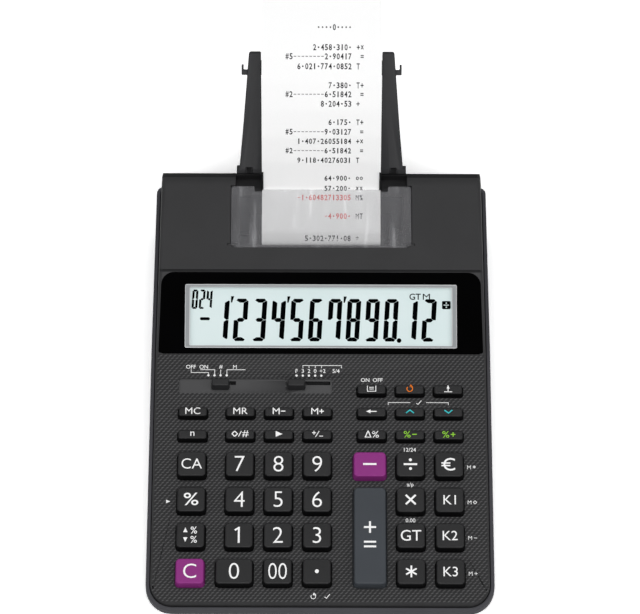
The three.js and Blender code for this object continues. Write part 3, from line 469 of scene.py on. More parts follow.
def lcd_glass():
    material, tree, shader = new_material("liquid crystal glass", Roughness=0.35, Specular_IOR_Level=0.15)
    paint(tree, shader, noise(tree, 35), (0.3, tone(208, 223, 223)), (0.7, tone(215, 228, 228)))
    bump(tree, shader, noise(tree, 0.3), 0.003)
    return material


def paper_material(name, colour):
    material, tree, shader = new_material(name, Roughness=0.9, Specular_IOR_Level=0.2)
    fibres = noise(tree, 0.5, 5)
    paint(tree, shader, fibres, (0.3, scaled(colour, 0.975)), (0.7, colour))
    bump(tree, shader, fibres, 0.01)
    return material


def roll_side(name, colour, centre):
    """The wound edge of the roll: fine rings round its axis, of slightly different shades."""
    material, tree, shader = new_material(name, Roughness=0.85, Specular_IOR_Level=0.2)
    vectors = {"kind": "ShaderNodeVectorMath", "output": "Vector"}
    away = arithmetic(tree, "SUBTRACT", object_place(tree), centre, **vectors)
    flat_away = arithmetic(tree, "MULTIPLY", away, (0, 1, 1), **vectors)
    radius = arithmetic(tree, "LENGTH", flat_away, kind="ShaderNodeVectorMath")
    sockets = {"W": radius, "Scale": 1 / (0.5 * MM), "Detail": 3}
    rings = node_in(tree, "ShaderNodeTexNoise", sockets, noise_dimensions="1D").outputs["Fac"]
    paint(tree, shader, rings, (0.3, scaled(colour, 0.8)), (0.7, colour))
    bump(tree, shader, rings, 0.08)
    return material


def rubber(name, colour):
    return plastic(name, colour, 0.8, 0.3, 0.4, 0.02)


CASE = plastic("case plastic", tone(50, 50, 51), 0.5)
RIM = plastic("lower case plastic", tone(68, 68, 72), 0.55)
DECK = textured_deck()
TRAY = plastic("switch tray plastic", tone(72, 72, 73), 0.5)
# Dark plastic for the slide switches' bodies. Elsewhere it is painted shade: inside the paper bay, on the
# step behind the display and in the strips along the paper's edges.
DARK_PLASTIC_AND_PAINTED_SHADE = plastic("dark plastic and painted shade", tone(34, 34, 35), 0.6, 0.1)
# The keys' roughness, shine, grain and depth of grain
KEY_FEEL = 0.4, 0.2, 0.1, 0.003
KEY = plastic("key plastic", tone(37, 37, 38), *KEY_FEEL)
# A darker colour of the keys' own plastic for their sides: painted shade in the gaps between the keys.
KEY_SIDE_PAINTED_SHADE = plastic("key side painted shade", tone(12, 12, 13), 0.55, 0.08)
MAGENTA = plastic("magenta key plastic", tone(135, 44, 122), *KEY_FEEL)
SLATE = plastic("slate key plastic", tone(60, 64, 69), *KEY_FEEL)
WINDOW = glossy_black()
BEZEL = plastic("display bezel", tone(144, 147, 149), 0.5, 0.15, depth=0.002)
# Light lines along the bezel's edges: painted highlight where the edges catch the light.
BEZEL_PAINTED_HIGHLIGHT = plastic("display bezel painted highlight", tone(205, 207, 208), 0.4, 0.2, depth=0.002)
GLASS = lcd_glass()
SMOKED = smoked_plastic()
ARM = plastic("arm plastic", tone(49, 49, 51), 0.45)
PRINTER = plastic("printer frame plastic", tone(58, 59, 61), 0.5, 0.5)
ROLLER = rubber("platen rubber", tone(42, 42, 42))
DRUM = plastic("type drum plastic", tone(150, 150, 146), 0.45, 0.5)
MAT = rubber("key mat rubber", tone(154, 154, 152))
FOOT = rubber("foot rubber", tone(30, 30, 31))
BOARD = plastic("circuit board", tone(31, 90, 52), 0.4, 0.5)
PAPER_COLOUR = tone(247, 247, 247)
PAPER = paper_material("paper", PAPER_COLOUR)
WHITE_INK = ink("white legend ink", tone(240, 240, 240))
ORANGE_INK = ink("orange legend ink", tone(232, 120, 30))
GREEN_INK = ink("green legend ink", tone(140, 200, 60))
TEAL_INK = ink("teal legend ink", tone(60, 190, 195))
PRINT_INK = ink("print ink", tone(30, 30, 34))
RED_PRINT_INK = ink("red print ink", tone(228, 110, 108))
SEGMENT_INK = ink("display segment", tone(2, 3, 4), 0)


# Lettering from the built-in font, as thin closed solids that lie in a plane

PRINT_THICKNESS = 0.02
glyph_store = {}


def lettering(text, height, weight=0.0, resolution=4):
    """One line of text with capitals of a height in millimetres, centred on its own box."""
    key = (text, height, weight, resolution)
    if key not in glyph_store:
        curve = bpy.data.curves.new("lettering", "FONT")
        curve.body = text
        curve.size = height / CAPITAL_SHARE
        curve.extrude = PRINT_THICKNESS / 2
        # An M made heavier crosses over itself in this font
        curve.offset = min(weight, 0) if "M" in text else weight
        curve.resolution_u = resolution
        holder = new_object("lettering", curve)
        mesh = holder.to_mesh()
        points = [vertex.co.copy() for vertex in mesh.vertices]
        faces = [tuple(polygon.vertices) for polygon in mesh.polygons]
        holder.to_mesh_clear()
        bpy.data.objects.remove(holder)
        bpy.data.curves.remove(curve)
        low, high = limits(points)
        middle = (low + high) / 2
        glyph_store[key] = ([point - middle for point in points], faces)
    return glyph_store[key]


CAPITAL_SHARE = 1.0
CAPITAL_SHARE = limits(lettering("H", 1.0)[0])[1].y * 2
glyph_store.clear()


def moved(solid, x, y, turn=0.0, stretch=1.0):
    """A flat solid stretched across, turned in degrees and moved in its plane."""
    place = Matrix.Translation((x, y, 0)) @ Matrix.Rotation(math.radians(turn), 4, "Z")
    place = place @ Matrix.Diagonal((stretch, 1, 1, 1))
    return [place @ Vector(point) for point in solid[0]], solid[1]


def flat(points):
    """A thin flat piece of print with the given outline."""
    corners = [Vector(point) for point in points]
    return prism(corners, -PRINT_THICKNESS / 2, PRINT_THICKNESS / 2)


def bar(left, right, front, rear):
    return flat([(left, front), (right, front), (right, rear), (left, rear)])


def stroke(start, end, width):
    """A straight line of print with square ends."""
    start, end = Vector(start), Vector(end)
    side = (end - start).normalized().orthogonal() * width / 2
    return flat([start - side, end - side, end + side, start + side])


def on_circle(x, y, radius, angle):
    """The point of a circle at an angle in radians."""
    return x + radius * math.cos(angle), y + radius * math.sin(angle)


def dot(x, y, radius, sides=20):
    return flat([on_circle(x, y, radius, 2 * math.pi * k / sides) for k in range(sides)])


def arc_stroke(x, y, radius, start, end, width, steps=20):
    """A line of print along an arc, from one angle in degrees to another."""
    angles = [math.radians(start + (end - start) * k / steps) for k in range(steps + 1)]
    outer = [on_circle(x, y, radius + width / 2, angle) for angle in angles]
    inner = [on_circle(x, y, radius - width / 2, angle) for angle in reversed(angles)]
    return flat([*outer, *inner])


def together(*solids):
    shape = Shape()
    for solid in solids:
        shape.add(solid)
    return shape.points, shape.faces


def text_at(text, height, x, y, weight=0.0, stretch=1.0):
    return moved(lettering(text, height, weight), x, y, 0, stretch)


def print_on(name, solids, place, material, body, lift, height_at=None):
    """Print as one piece that lies just over a face, or over a curved top whose height is a function."""
    points, faces = together(*solids)
    rest = height_at or (lambda x, y: 0)
    lifted = [Vector((p.x, p.y, p.z + lift + rest(p.x, p.y))) for p in points]
    return make_piece(name, (lifted, faces), place, material, body, smooth=10)


LIFT = 0.03


# Keys


KEY_FLANGE = 0.9
KEY_FLANGE_LOW, KEY_FLANGE_TOP = -3.5, -2.3
KEY_CORNER, SMALL_KEY_CORNER = 2.0, 1.3
KEY_SIDE_DRAFT, KEY_FRONT_DRAFT = 0.45, 0.7
KEY_EDGE = 0.8
KEY_DISH = 0.28
KEY_TOP_STEP = 1.1


class Key:
    """A key's place and sizes on the keyboard, measured from its node."""

    def __init__(self, name):
        low, high = limits(node_points(name, KEYBOARD))
        self.x, self.y = (low.x + high.x) / 2, (low.y + high.y) / 2
        self.half = Vector((high.x - low.x, high.y - low.y)) / 2 - Vector((KEY_FLANGE, KEY_FLANGE))
        self.height = high.z
        self.corner = KEY_CORNER if self.half.y > 4 else SMALL_KEY_CORNER
        self.dish_power = 2 if self.half.y < 2 * self.half.x else 10

    def dish(self, x, y):
        """How deep the top lies under its rim at a place given from the key's middle."""
        across = min(1, abs(x) / (self.half.x - KEY_SIDE_DRAFT))
        up = min(1, abs(y) / (self.half.y - KEY_SIDE_DRAFT))
        return KEY_DISH * (1 - across**2) * (1 - up**self.dish_power)

    def top(self, x, y):
        return self.height - self.dish(x, y)

    def ring(self, inset, height, draft=0.0):
        x, y = self.half.x - inset, self.half.y - inset
        arcs = outline(rectangle(-x, x, -y, y, max(self.corner - max(inset, 0) * 0.8, 0.02)), 11.25)
        per_corner = len(arcs) // 4
        rounded = []
        for side, half in enumerate((self.half.x, self.half.y) * 2):
            corner = arcs[side * per_corner : (side + 1) * per_corner]
            steps = max(2, round(2 * half / KEY_TOP_STEP))
            following = arcs[(side + 1) * per_corner % len(arcs)]
            rounded += corner
            rounded += [corner[-1].lerp(following, k / steps) for k in range(1, steps)]
        points = []
        for point in rounded:
            back = KEY_FRONT_DRAFT if point.y < 0 else KEY_SIDE_DRAFT
            x = point.x - draft * KEY_SIDE_DRAFT * point.x / self.half.x
            y = point.y - draft * back * point.y / self.half.y
            points.append(Vector((x, y, self.height - self.dish(x, y) if height is None else height)))
        return points

    def solid(self):
        flange = (-KEY_FLANGE, KEY_FLANGE_LOW), (-KEY_FLANGE, KEY_FLANGE_TOP), (0, KEY_FLANGE_TOP), (0, 0)
        rings = [self.ring(inset, height) for inset, height in flange]
        for k in range(5):
            angle = math.radians(90 * k / 4)
            inset, drop = KEY_EDGE * (1 - math.cos(angle)), KEY_EDGE * (1 - math.sin(angle))
            rings.append(self.ring(inset, self.height - drop, 1))
        reach = min(self.half) - 0.05
        count = round(reach / KEY_TOP_STEP)
        for k in range(1, count + 1):
            inset = KEY_EDGE + (reach - KEY_EDGE) * k / count
            rings.append(self.ring(inset, None, 1))
        return loft(rings)

    def place(self):
        return KEYBOARD @ Matrix.Translation((self.x, self.y, 0))


KEY_FINISHES = {
    "key_clear": (MAGENTA, "key_magenta"),
    "key_subtract": (MAGENTA, "key_magenta"),
    "key_add_equals": (SLATE, "key_slate"),
}


def make_keys():
    names = sorted(n for n in frame["nodes"] if n.startswith("key_") and n != "key_mat")
    keys = {name: Key(name) for name in names}
    for name, key in keys.items():
        material, slot = KEY_FINISHES.get(name, (KEY, "key_black"))
        cap = make_piece(f"{name}_cap", key.solid(), key.place(), material, name, slot, 40)
        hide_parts(name)
        # Faces that face sideways or down take the darker colour: painted shade between the keys.
        if material is KEY:
            cap.data.materials.append(KEY_SIDE_PAINTED_SHADE)
            for face in cap.data.polygons:
                face.material_index = int(face.normal.z < 0.3)
    return keys


# Legends on the keys. Sizes are millimetres on the key's top.
DIGIT_HEIGHT, SMALL_HEIGHT = 7.9, 3.2
DIGIT_WEIGHT, SMALL_WEIGHT = -0.12, 0.01
LINE = 0.95
LEGEND_UP, SMALL_LEGEND_UP = 0.2, 0.45
SMALL_LIFT = 0.1


def euro():
    letter = lettering("C", 6.2, 0.02)
    low, high = limits(letter[0])
    bars = [bar(low.x - 0.9, low.x + 3.4, y - 0.35, y + 0.35) for y in (-0.65, 0.65)]
    return together(letter, *bars)


def multiply():
    reach = 2.35
    return together(*(stroke((-reach, -end), (reach, end), LINE) for end in (reach, -reach)))


def plus_over_equals():
    reach = 2.9
    plus = [bar(-reach, reach, 3.6, 3.6 + LINE), bar(-LINE / 2, LINE / 2, 4.1 - reach, 4.1 + reach)]
    equals = [bar(-reach, reach, y - LINE / 2, y + LINE / 2) for y in (-5.5, -3.2)]
    return together(*plus, *equals)


def asterisk(reach, width):
    strokes = []
    for k in range(3):
        end = Vector(on_circle(0, 0, reach, math.radians(30 + 60 * k)))
        strokes.append(stroke(-end, end, width))
    return together(*strokes)


def chevron(sign):
    ends = ((1.9 * side, -0.75 * sign, -0.14 * side) for side in (-1, 1))
    return together(*(stroke((outer, y), (inner, 0.85 * sign), 0.55) for outer, y, inner in ends))


def triangle(x, y, size, turn=0):
    points = [(-0.5 * size, -0.5 * size), (0.62 * size, 0), (-0.5 * size, 0.5 * size)]
    return moved(flat(points), x, y, turn)


def diamond(x, y, size, width):
    reach = size / 2
    points = [(reach, 0), (0, reach), (-reach, 0), (0, -reach)]
    ends = zip(points, [*points[1:], points[0]])
    return moved(together(*(stroke(a, b, width) for a, b in ends)), x, y)


def round_arrow(radius, width):
    """An open circle with an arrow head, for printing again."""
    head = triangle(radius * 0.62, radius * 0.92, 1.5, -25)
    return together(arc_stroke(0, 0, radius, -220, 70, width), head)


def sheet_sign():
    """A sheet of paper with two lines on it."""
    bars = [(-2.2, -1.85, -1.5, 1.5), (1.85, 2.2, -1.5, 1.5), (-2.2, 2.2, -1.5, -1.15)]
    bars += [(-1.1, 1.1, y, y + 0.35) for y in (-0.35, 0.5)]
    return together(*(bar(*sides) for sides in bars))


def feed_sign():
    """An arrow up from a line."""
    return together(bar(-1.9, 1.9, -1.7, -1.3), bar(-0.25, 0.25, -1.0, 0.6), triangle(0, 0.95, 1.5, 90))


def shift_up_down():
    rows = []
    for side in (1, -1):
        rows.append(triangle(-2.4, 2.3 * side, 2.1, 90 * side))
        rows.append(text_at("%", 3.3, 1.6, 2.3 * side, 0.02))
    return together(*rows)


def small_text(text, x=0.0, y=0.0):
    return text_at(text, SMALL_HEIGHT, x, y, SMALL_WEIGHT, 1.12)


def legend_list():
    """Each key's legend: the print and its ink."""
    letter_m, level_bar = small_text("M", -1.3), bar(0.9, 3.1, -0.25, 0.25)
    green_text, green_bar = small_text("%", -1.4), bar(1.0, 3.2, -0.25, 0.25)
    white = {str(n): lettering(str(n), DIGIT_HEIGHT, DIGIT_WEIGHT) for n in range(10)}
    white |= {
        "1": one_with_flag(),
        "00": moved(lettering("00", DIGIT_HEIGHT, DIGIT_WEIGHT), 0, 0, 0, 0.82),
        "point": dot(0, 0, 0.95),
        "clear": lettering("C", 7.0, -0.06),
        "clear_all": lettering("CA", 5.1, -0.03),
        "percent": moved(lettering("%", 6.0, 0.04), 0, 0, 0, 1.25),
        "markup": shift_up_down(),
        "add_equals": plus_over_equals(),
        "subtract": bar(-3.2, 3.2, -LINE / 2, LINE / 2),
        "divide": together(bar(-3.2, 3.2, -LINE / 2, LINE / 2), dot(0, 2.2, 0.75), dot(0, -2.2, 0.75)),
        "multiply": multiply(),
        "grand_total": lettering("GT", 5.2),
        "total": asterisk(2.9, LINE * 0.85),
        "euro": euro(),
        **{f"memory_{n}": lettering(f"K{n}", 4.6) for n in (1, 2, 3)},
        "time": small_text("MC"),
        "cost": small_text("MR"),
        "sell": together(letter_m, level_bar),
        "margin": together(letter_m, level_bar, bar(1.75, 2.25, -1.1, 1.1)),
        "item": small_text("n"),
        "non_add": non_add_sign(),
        "shift": triangle(0, 0, 2.9),
        "sign": change_sign(),
        "delta_percent": small_text("Δ%"),
        "print": sheet_sign(),
        "feed": feed_sign(),
        "correct": together(triangle(-1.5, 0, 1.9, 180), bar(-1.2, 2.4, -0.25, 0.25)),
    }
    coloured = (
        (WHITE_INK, white),
        (ORANGE_INK, {"reprint": round_arrow(1.35, 0.42)}),
        (TEAL_INK, {"check_up": chevron(1), "check_down": chevron(-1)}),
        (
            GREEN_INK,
            {
                "tax_minus": together(green_text, green_bar),
                "tax_plus": together(green_text, green_bar, bar(1.85, 2.35, -1.1, 1.1)),
            },
        ),
    )
    legends = {}
    for material, solids in coloured:
        legends.update({f"key_{name}": (solid, material) for name, solid in solids.items()})
    return legends


def non_add_sign():
    line = stroke((-0.8, -1.4), (0.6, 1.4), 0.42)
    return together(diamond(-2.6, 0, 2.7, 0.5), line, small_text("#", 2.5))


def change_sign():
    bars = (-2.5, -0.7, 0.45, 0.85), (-1.8, -1.4, -0.25, 1.55), (0.9, 2.7, -1.25, -0.85)
    return together(*(bar(*sides) for sides in bars), stroke((-0.9, -1.5), (0.9, 1.5), 0.38))


def one_with_flag():
    half = DIGIT_HEIGHT / 2
    flag = stroke((0.1, half - 0.42), (-1.9, half - 1.6), 0.85)
    return together(bar(-LINE / 2, LINE / 2, -half, half), flag)


def make_key_legends(keys):
    for name, (solid, material) in legend_list().items():
        key = keys[name]
        up, lift = (LEGEND_UP, LIFT) if key.height > 4 else (SMALL_LEGEND_UP, SMALL_LIFT)
        shifted = moved(solid, 0, up)
        piece = print_on(f"{name}_legend", [shifted], key.place(), material, name, lift, key.top)
        piece.visible_shadow = False


# Cases


# The rounding of the upper case's outer rim, and how far in from the sides its edges may lie
RIM_ROUND, RIM_REACH = 1.7, 9
CASE_HALF = node_box("upper_case")[1].x
# How deep the switch trays and the paper bay lie
TRAY_DEPTH, BAY_DEPTH = 0.8, 0.4


def outer_rim(edge):
    """Whether an edge of the upper case is where its top meets its outer walls."""
    middle = (edge.verts[0].co + edge.verts[1].co) / 2 / MM
    at_side = abs(middle.x) > CASE_HALF - RIM_REACH
    for wall, top in (edge.link_faces, reversed(edge.link_faces)):
        out = wall.normal.x * math.copysign(1, middle.x) if at_side else 0
        if out > 0.8 and abs(top.normal.x) < 0.5 and top.normal.z > 0.1:
            return True
        in_front = middle.y < CASE_FRONT + 16
        if in_front and abs(wall.normal.z) < 0.35 and top.normal.z > 0.8:
            if out > 0.1 or wall.normal.y < -0.9 and middle.y < CASE_FRONT + 8:
                return True
    return False


def make_cases():
    upper = node_copy("upper_case", "upper_case_shell", None, "case_charcoal", 28)
    for material in (CASE, DECK, TRAY, DARK_PLASTIC_AND_PAINTED_SHADE):
        upper.data.materials.append(material)
    inward, on_housing = KEYBOARD.inverted(), HOUSING.inverted()
    bay_half = node_box("printer_cover")[1].x + 1
    for face in upper.data.polygons:
        middle = inward @ face.center
        above = on_housing @ face.center
        level = abs((inward.to_3x3() @ face.normal).normalized().z) > 0.999
        if level and abs(middle.z) < 0.05:
            face.material_index = 1
        elif level and abs(middle.z + TRAY_DEPTH) < 0.1:
            face.material_index = 2
        # The paper bay's inside and the step behind the display take the dark colour: painted shade where
        # the housing shades them.
        elif above.y > 8 and above.z < -BAY_DEPTH and abs(above.x) < bay_half:
            face.material_index = 3
        elif face.normal.y < -0.8 and 0.3 < face.normal.z and middle.y > 100:
            face.material_index = 3
        else:
            face.material_index = 0
    round_edges(upper, 0, 32, 3, outer_rim, RIM_ROUND)
    lower = node_copy("lower_case", "lower_case_shell", RIM, "rim_charcoal", 28)
    lower.data.materials.append(FOOT)
    for face in lower.data.polygons:
        if face.center.z < FOOT_HEIGHT * MM and near_foot(face.center):
            face.material_index = 1
    round_edges(lower, 0.35, 32, 2)


FOOT_HEIGHT, FOOT_RADIUS = 1.7, 7


def near_foot(point):
    """Whether a point is at one of the feet, which are the mounts that the object rests on."""
    for mount in frame["record"]["mounts"]:
        x, y, _ = mount["pos_m"]
        if math.hypot(point.x - x, point.y - y) < FOOT_RADIUS * MM:
            return True
    return False


# Display

# The openings of the panel and of the bezel: half their width, their front and their back
DISPLAY_OPENING = (66.3, 3.0, 34.5)
GLASS_OPENING = (64.0, 4.3, 33.0)
BEZEL_HIGHLIGHT_WIDTH = 0.35
# The glossy foil over the panel: how far it reaches past it at the front's sides and at the back, and its
# thickness
MARGIN_FRONT, MARGIN_REAR, MARGIN_THICKNESS = 1.5, 0.3, 0.06
BEZEL_DROP = 0.6
PANEL_CORNER = 6.3


def make_display():
    low, high = limits(node_points("display_window", DISPLAY))
    half, front, rear = DISPLAY_OPENING
    outside = rectangle(low.x, high.x, low.y, high.y, 1, PANEL_CORNER)
    opening = rectangle(-half, half, front, rear, 0.8)

    def levels(corners, inset, *heights):
        grown = [
            (x + math.copysign(inset, -x), y + (inset if y < 20 else -inset), max(r - inset, 0.1))
            for x, y, r in corners
        ]
        return [at_height(outline(grown, 10), height) for height in heights]

    edge = 0.3
    outer = levels(outside, 0, low.z, high.z - edge) + levels(outside, edge * 0.3, high.z - edge * 0.3)
    outer += levels(outside, edge, high.z)
    inner = levels(opening, 0, low.z, high.z - edge) + levels(opening, -edge * 0.5, high.z)
    glossy = DISPLAY, WINDOW, "root", "window_black", 12
    plate = make_piece("display_panel", ring_loft(outer, inner), *glossy)
    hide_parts("display_window")
    front_y, rear_y = low.y + 0.1, high.y + MARGIN_REAR
    spread_out = [
        (low.x - MARGIN_FRONT, front_y, 1),
        (high.x + MARGIN_FRONT, front_y, 1),
        (high.x + MARGIN_REAR, rear_y, PANEL_CORNER),
        (low.x - MARGIN_REAR, rear_y, PANEL_CORNER),
    ]
    rings = []
    for corners in (spread_out, opening):
        points = outline(corners, 10)
        rings.append([at_height(points, height) for height in (high.z, high.z + MARGIN_THICKNESS)])
    make_piece("display_margin", ring_loft(*rings), *glossy)

    gap = 0.15
    glass_half, glass_front, glass_rear = GLASS_OPENING
    frame_outer = rectangle(gap - half, half - gap, front + gap, rear - gap, 0.7)
    frame_inner = rectangle(-glass_half, glass_half, glass_front, glass_rear, 0.5)
    bottom, rim, inside = low.z + 0.1, high.z - 0.35, high.z - BEZEL_DROP
    sides = levels(frame_outer, 0, bottom, rim), levels(frame_inner, 0, bottom, inside)
    make_piece("display_bezel", ring_loft(*sides), DISPLAY, BEZEL, "root")
    # Thin light rings along the bezel's outer and inner edge: painted highlight.
    edges = Shape()
    for corners, inset, level in ((frame_outer, 0, rim), (frame_inner, -BEZEL_HIGHLIGHT_WIDTH, inside)):
        shifts = inset, inset + BEZEL_HIGHLIGHT_WIDTH
        edges.add(ring_loft(*(levels(corners, shift, level - 0.1, level + 0.03) for shift in shifts)))
    make_piece("bezel_painted_highlights", edges, DISPLAY, BEZEL_PAINTED_HIGHLIGHT, "root")

    low, high = limits(node_points("lcd_module", DISPLAY))
    corners = outline(rectangle(low.x, high.x, low.y, high.y, 0.6), 30)
    lcd = make_piece("lcd_panel", prism(corners, low.z, high.z), DISPLAY, GLASS, "root", "lcd_glass")
    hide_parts("lcd_module")
    make_segments(high.z)


# The segments of each figure, by the letters that a seven-segment digit gives them
SEGMENTS = dict(zip("0123456789", "abcdef bc abged abgcd fgbc afgcd afgedc abcf abcdefg abcdfg".split()))


def segment(letter, width, height, thick_up, thick_across, crack):
    """One segment as a flat outline, in a digit whose lower left corner is the origin and whose corners
    are cut off."""
    middle, reach = height / 2, thick_up + crack * 0.4
    cut = LCD_CORNER * thick_up / 2.35
    if letter in "adg":
        if letter == "g":
            outer, inner = middle - thick_across / 2, middle + thick_across / 2
            half = [(reach, outer), (thick_up * 0.5 + crack, middle), (reach, inner)]
        else:
            outer, inner = (height, height - thick_across) if letter == "a" else (0, thick_across)
            y = outer + (inner - outer) * 0.45
            half = [(cut + crack, outer), (cut * 0.45 + crack, y), (reach, inner)]
        return half + [(width - x, y) for x, y in reversed(half)]
    outer, inner = (0, thick_up) if letter in "ef" else (width, width - thick_up)
    end, side = (height, -1) if letter in "bf" else (0, 1)
    return [
        (outer, end + side * (cut + crack)),
        (outer + (inner - outer) * 0.22, end + side * (cut * 0.7 + crack)),
        (inner, end + side * (thick_across + crack * 0.6)),
        (inner, middle - side * (thick_across / 2 + crack * 0.2)),
        ((outer + inner) / 2, middle - side * crack * 0.4),
        (outer, middle - side * crack * 1.2),
    ]


def digit(character, x, y, width, height, thick_up, thick_across, crack):
    """A seven-segment digit whose lower left corner is at (x, y)."""
    pieces = []
    for letter in SEGMENTS[character]:
        points = segment(letter, width, height, thick_up, thick_across, crack)
        leaning = [(x + px + py * LCD_LEAN, y + py) for px, py in points]
        pieces.append(flat(counter_clockwise(leaning)))
    return together(*pieces)


def counter_clockwise(points):
    area = sum(a[0] * b[1] - b[0] * a[1] for a, b in zip(points, [*points[1:], points[0]]))
    return points if area > 0 else list(reversed(points))


LCD_DIGITS = "1234567890 12"
LCD_PITCH, LCD_WIDTH, LCD_HEIGHT = 9.15, 6.6, 20.9
LCD_FIRST_X, LCD_BASE_Y = -52.15, 6.6
# How much of a corner is cut off, how far the last figures move up, and the figures' lean
LCD_CORNER, LCD_GAP, LCD_LEAN = 1.15, 0.97, math.tan(math.radians(3.3))


def make_segments(height):
    pieces = []
    for k, character in enumerate(LCD_DIGITS):
        if character != " ":
            x = LCD_FIRST_X + (k if k < 10 else k - LCD_GAP) * LCD_PITCH
            sizes = LCD_WIDTH, LCD_HEIGHT, 2.35, 1.95, 0.14
            pieces.append(digit(character, x, LCD_BASE_Y, *sizes))
    top = LCD_BASE_Y + LCD_HEIGHT
    for k in (0, 3, 6):
        x = LCD_FIRST_X + k * LCD_PITCH + LCD_WIDTH + LCD_HEIGHT * LCD_LEAN + 0.55
        comma = [(x, top + 1.2), (x + 1.5, top + 1.2), (x + 0.55, top - 1.9), (x - 0.1, top - 1.9)]
        pieces.append(flat(counter_clockwise(comma)))
    point_x = LCD_FIRST_X + 9 * LCD_PITCH + LCD_WIDTH + 1.25
    pieces.append(dot(point_x, LCD_BASE_Y + 0.5, 1.15))
    for k, character in enumerate("024"):
        pieces.append(digit(character, -63.1 + 3.5 * k, 22.4, 2.85, 9.5, 1.1, 1.0, 0.1))
    pieces.append(flat(outline(rectangle(-58.9, -54.1, 16.8, 18.3, 0.7), 22)))
    pieces += [text_at("GT", 2.9, 45.9, 28.7, 0.06), text_at("M", 2.9, 51.4, 28.7, 0.0, 1.3)]
    print_on("display_digits", pieces, DISPLAY, SEGMENT_INK, "root", height + LIFT)
    make_display_icon(height)


def make_display_icon(height):
    x, y = 61.1, 24.6
    icon = flat(outline(rectangle(x - 2.1, x + 2.1, y - 2.0, y + 2.0, 0.6), 22))
    print_on("display_icon", [icon], DISPLAY, SEGMENT_INK, "root", height + LIFT)
    signs = [bar(x - 1.3, x + 1.3, y - 0.2, y + 0.2), dot(x, y + 1.0, 0.33), dot(x, y - 1.0, 0.33)]
    print_on("display_icon_sign", signs, DISPLAY, GLASS, "root", height + 2 * LIFT)


# Legends on the case

# The width of the leader lines, and where the marks beside the memory keys stand
LEADER, MEMORY_X = 0.28, 72.0


def make_case_legends():
    """The print on the deck: what the switches' places mean, and marks beside the keys."""
    words = (
        *(("OFF", -62.9, 119.3), ("ON", -56.7, 119.3), ("#", -48.4, 119.3), ("M", -41.6, 119.3)),
        *(("F", -11.7, 117.3), ("3", -8.7, 117.3), ("2", -5.7, 117.3), ("0", -2.7, 117.3)),
        *(("+2", 0.9, 117.3), ("5/4", 7.4, 117.3), ("ON", 21.5, 112.7), ("OFF", 27.6, 112.7)),
        *(("12/24", 42.9, 77.0), ("a/p", 42.9, 59.2), ("0.00", 42.9, 41.5)),
        *(("M", MEMORY_X - 0.9, y) for y in (68.2, 50.6, 32.8, 15.2)),
    )
    level = [(-62.9, -54.3, 116.2), (-58.4, -51.3, 117.7), (-45.6, -36.5, 117.7), (-8.8, 10.2, 120.0)]
    level += [(47.1 + side * 9.2 - 5.4, 47.1 + side * 9.2 + 5.4, 101.0) for side in (-1, 1)]
    upright = [(-62.9, 116.3, 117.9), (-54.5, 115.3, 116.4)]
    upright += [(x, 115.3, 117.9) for x in (-51.5, -48.6, -45.6)]
    upright += [(x, 118.8, 120.1) for x in (-8.8, -5.8, -2.8, 0.2, 9.9)]
    upright += [(47.1 + side * 14.5 - LEADER / 2, 99.9, 101.2) for side in (-1, 1)]
    ticks = ((46.2, 100.9), (47.0, 100.1)), ((46.85, 100.05), (48.6, 102.2))
    ticks += ((2.2, 3.6), (3.0, 2.8)), ((2.85, 2.75), (4.6, 4.9))
    dots = [*(-54.4 + 2.95 * k for k in range(4)), *(-11.7 + 3.0 * k for k in range(5))]
    marks = [
        *(dot(x, 114.9, 0.55) for x in dots),
        *(text_at(text, 1.9, x, y, 0.02) for text, x, y in words),
        *(bar(left, right, y, y + LEADER) for left, right, y in level),
        *(bar(x, x + LEADER, front, rear) for x, front, rear in upright),
        *(stroke(start, end, 0.34) for start, end in ticks),
        triangle(-72.6, 50.6, 1.8),
        moved(asterisk(0.75, 0.3), MEMORY_X + 1.6, 68.4),
        diamond(MEMORY_X + 1.7, 50.6, 1.7, 0.3),
        *(bar(MEMORY_X + 0.9, MEMORY_X + 2.4, y, y + 0.25) for y in (32.7, 15.1)),
        bar(MEMORY_X + 1.52, MEMORY_X + 1.78, 14.5, 15.95),
        moved(round_arrow(1.1, 0.3), -3.2, 3.7),
    ]
    print_on("case_legends", marks, KEYBOARD, WHITE_INK, "root", LIFT)
    number = [text_at("12", 3.8, 72.2, 7.6, 0.05, 1.15)]
    print_on("display_legend", number, DISPLAY, WHITE_INK, "root", LIFT)


# Nodes that keep their shape and get rounded edges: the piece, its finish and slot, the angle up to which
# it is shaded smooth, and the rounding's width, least angle and steps

SWITCH_LOOK = KEY, "key_black", 40, (0.35, 28, 3)
ARM_LOOK = ARM, "arm_black", 32, (0.4, 30, 3)
ROUNDED_NODES = {
    "function_switch": ("function_switch_knob", *SWITCH_LOOK),
    "decimal_switch": ("decimal_switch_knob", *SWITCH_LOOK),
    "paper_arm_left": ("arm_left_blade", *ARM_LOOK),
    "paper_arm_right": ("arm_right_blade", *ARM_LOOK),
    "printer_frame": ("printer_side_plates", PRINTER, "printer_grey", 30, (0.3, 30, 2)),
    "platen_roller": ("platen_and_gear", ROLLER, "roller_rubber", 32, (0.15, 34, 2)),
    "print_drum": ("type_drum", DRUM, "drum_grey", 32, (0.1, 34, 2)),
    "battery_cover": ("battery_door", RIM, "rim_charcoal", 30, (0.3, 30, 2)),
}


def rounded_node(node):
    name, material, slot, smooth, rounding = ROUNDED_NODES[node]
    round_edges(node_copy(node, name, material, slot, smooth), *rounding)


# Slide switches


# The body of each slide switch on the board: its gap under the slider, its height and its reach past it
SWITCH_GAP, SWITCH_BODY, SWITCH_REACH = 0.3, 0.8, 11


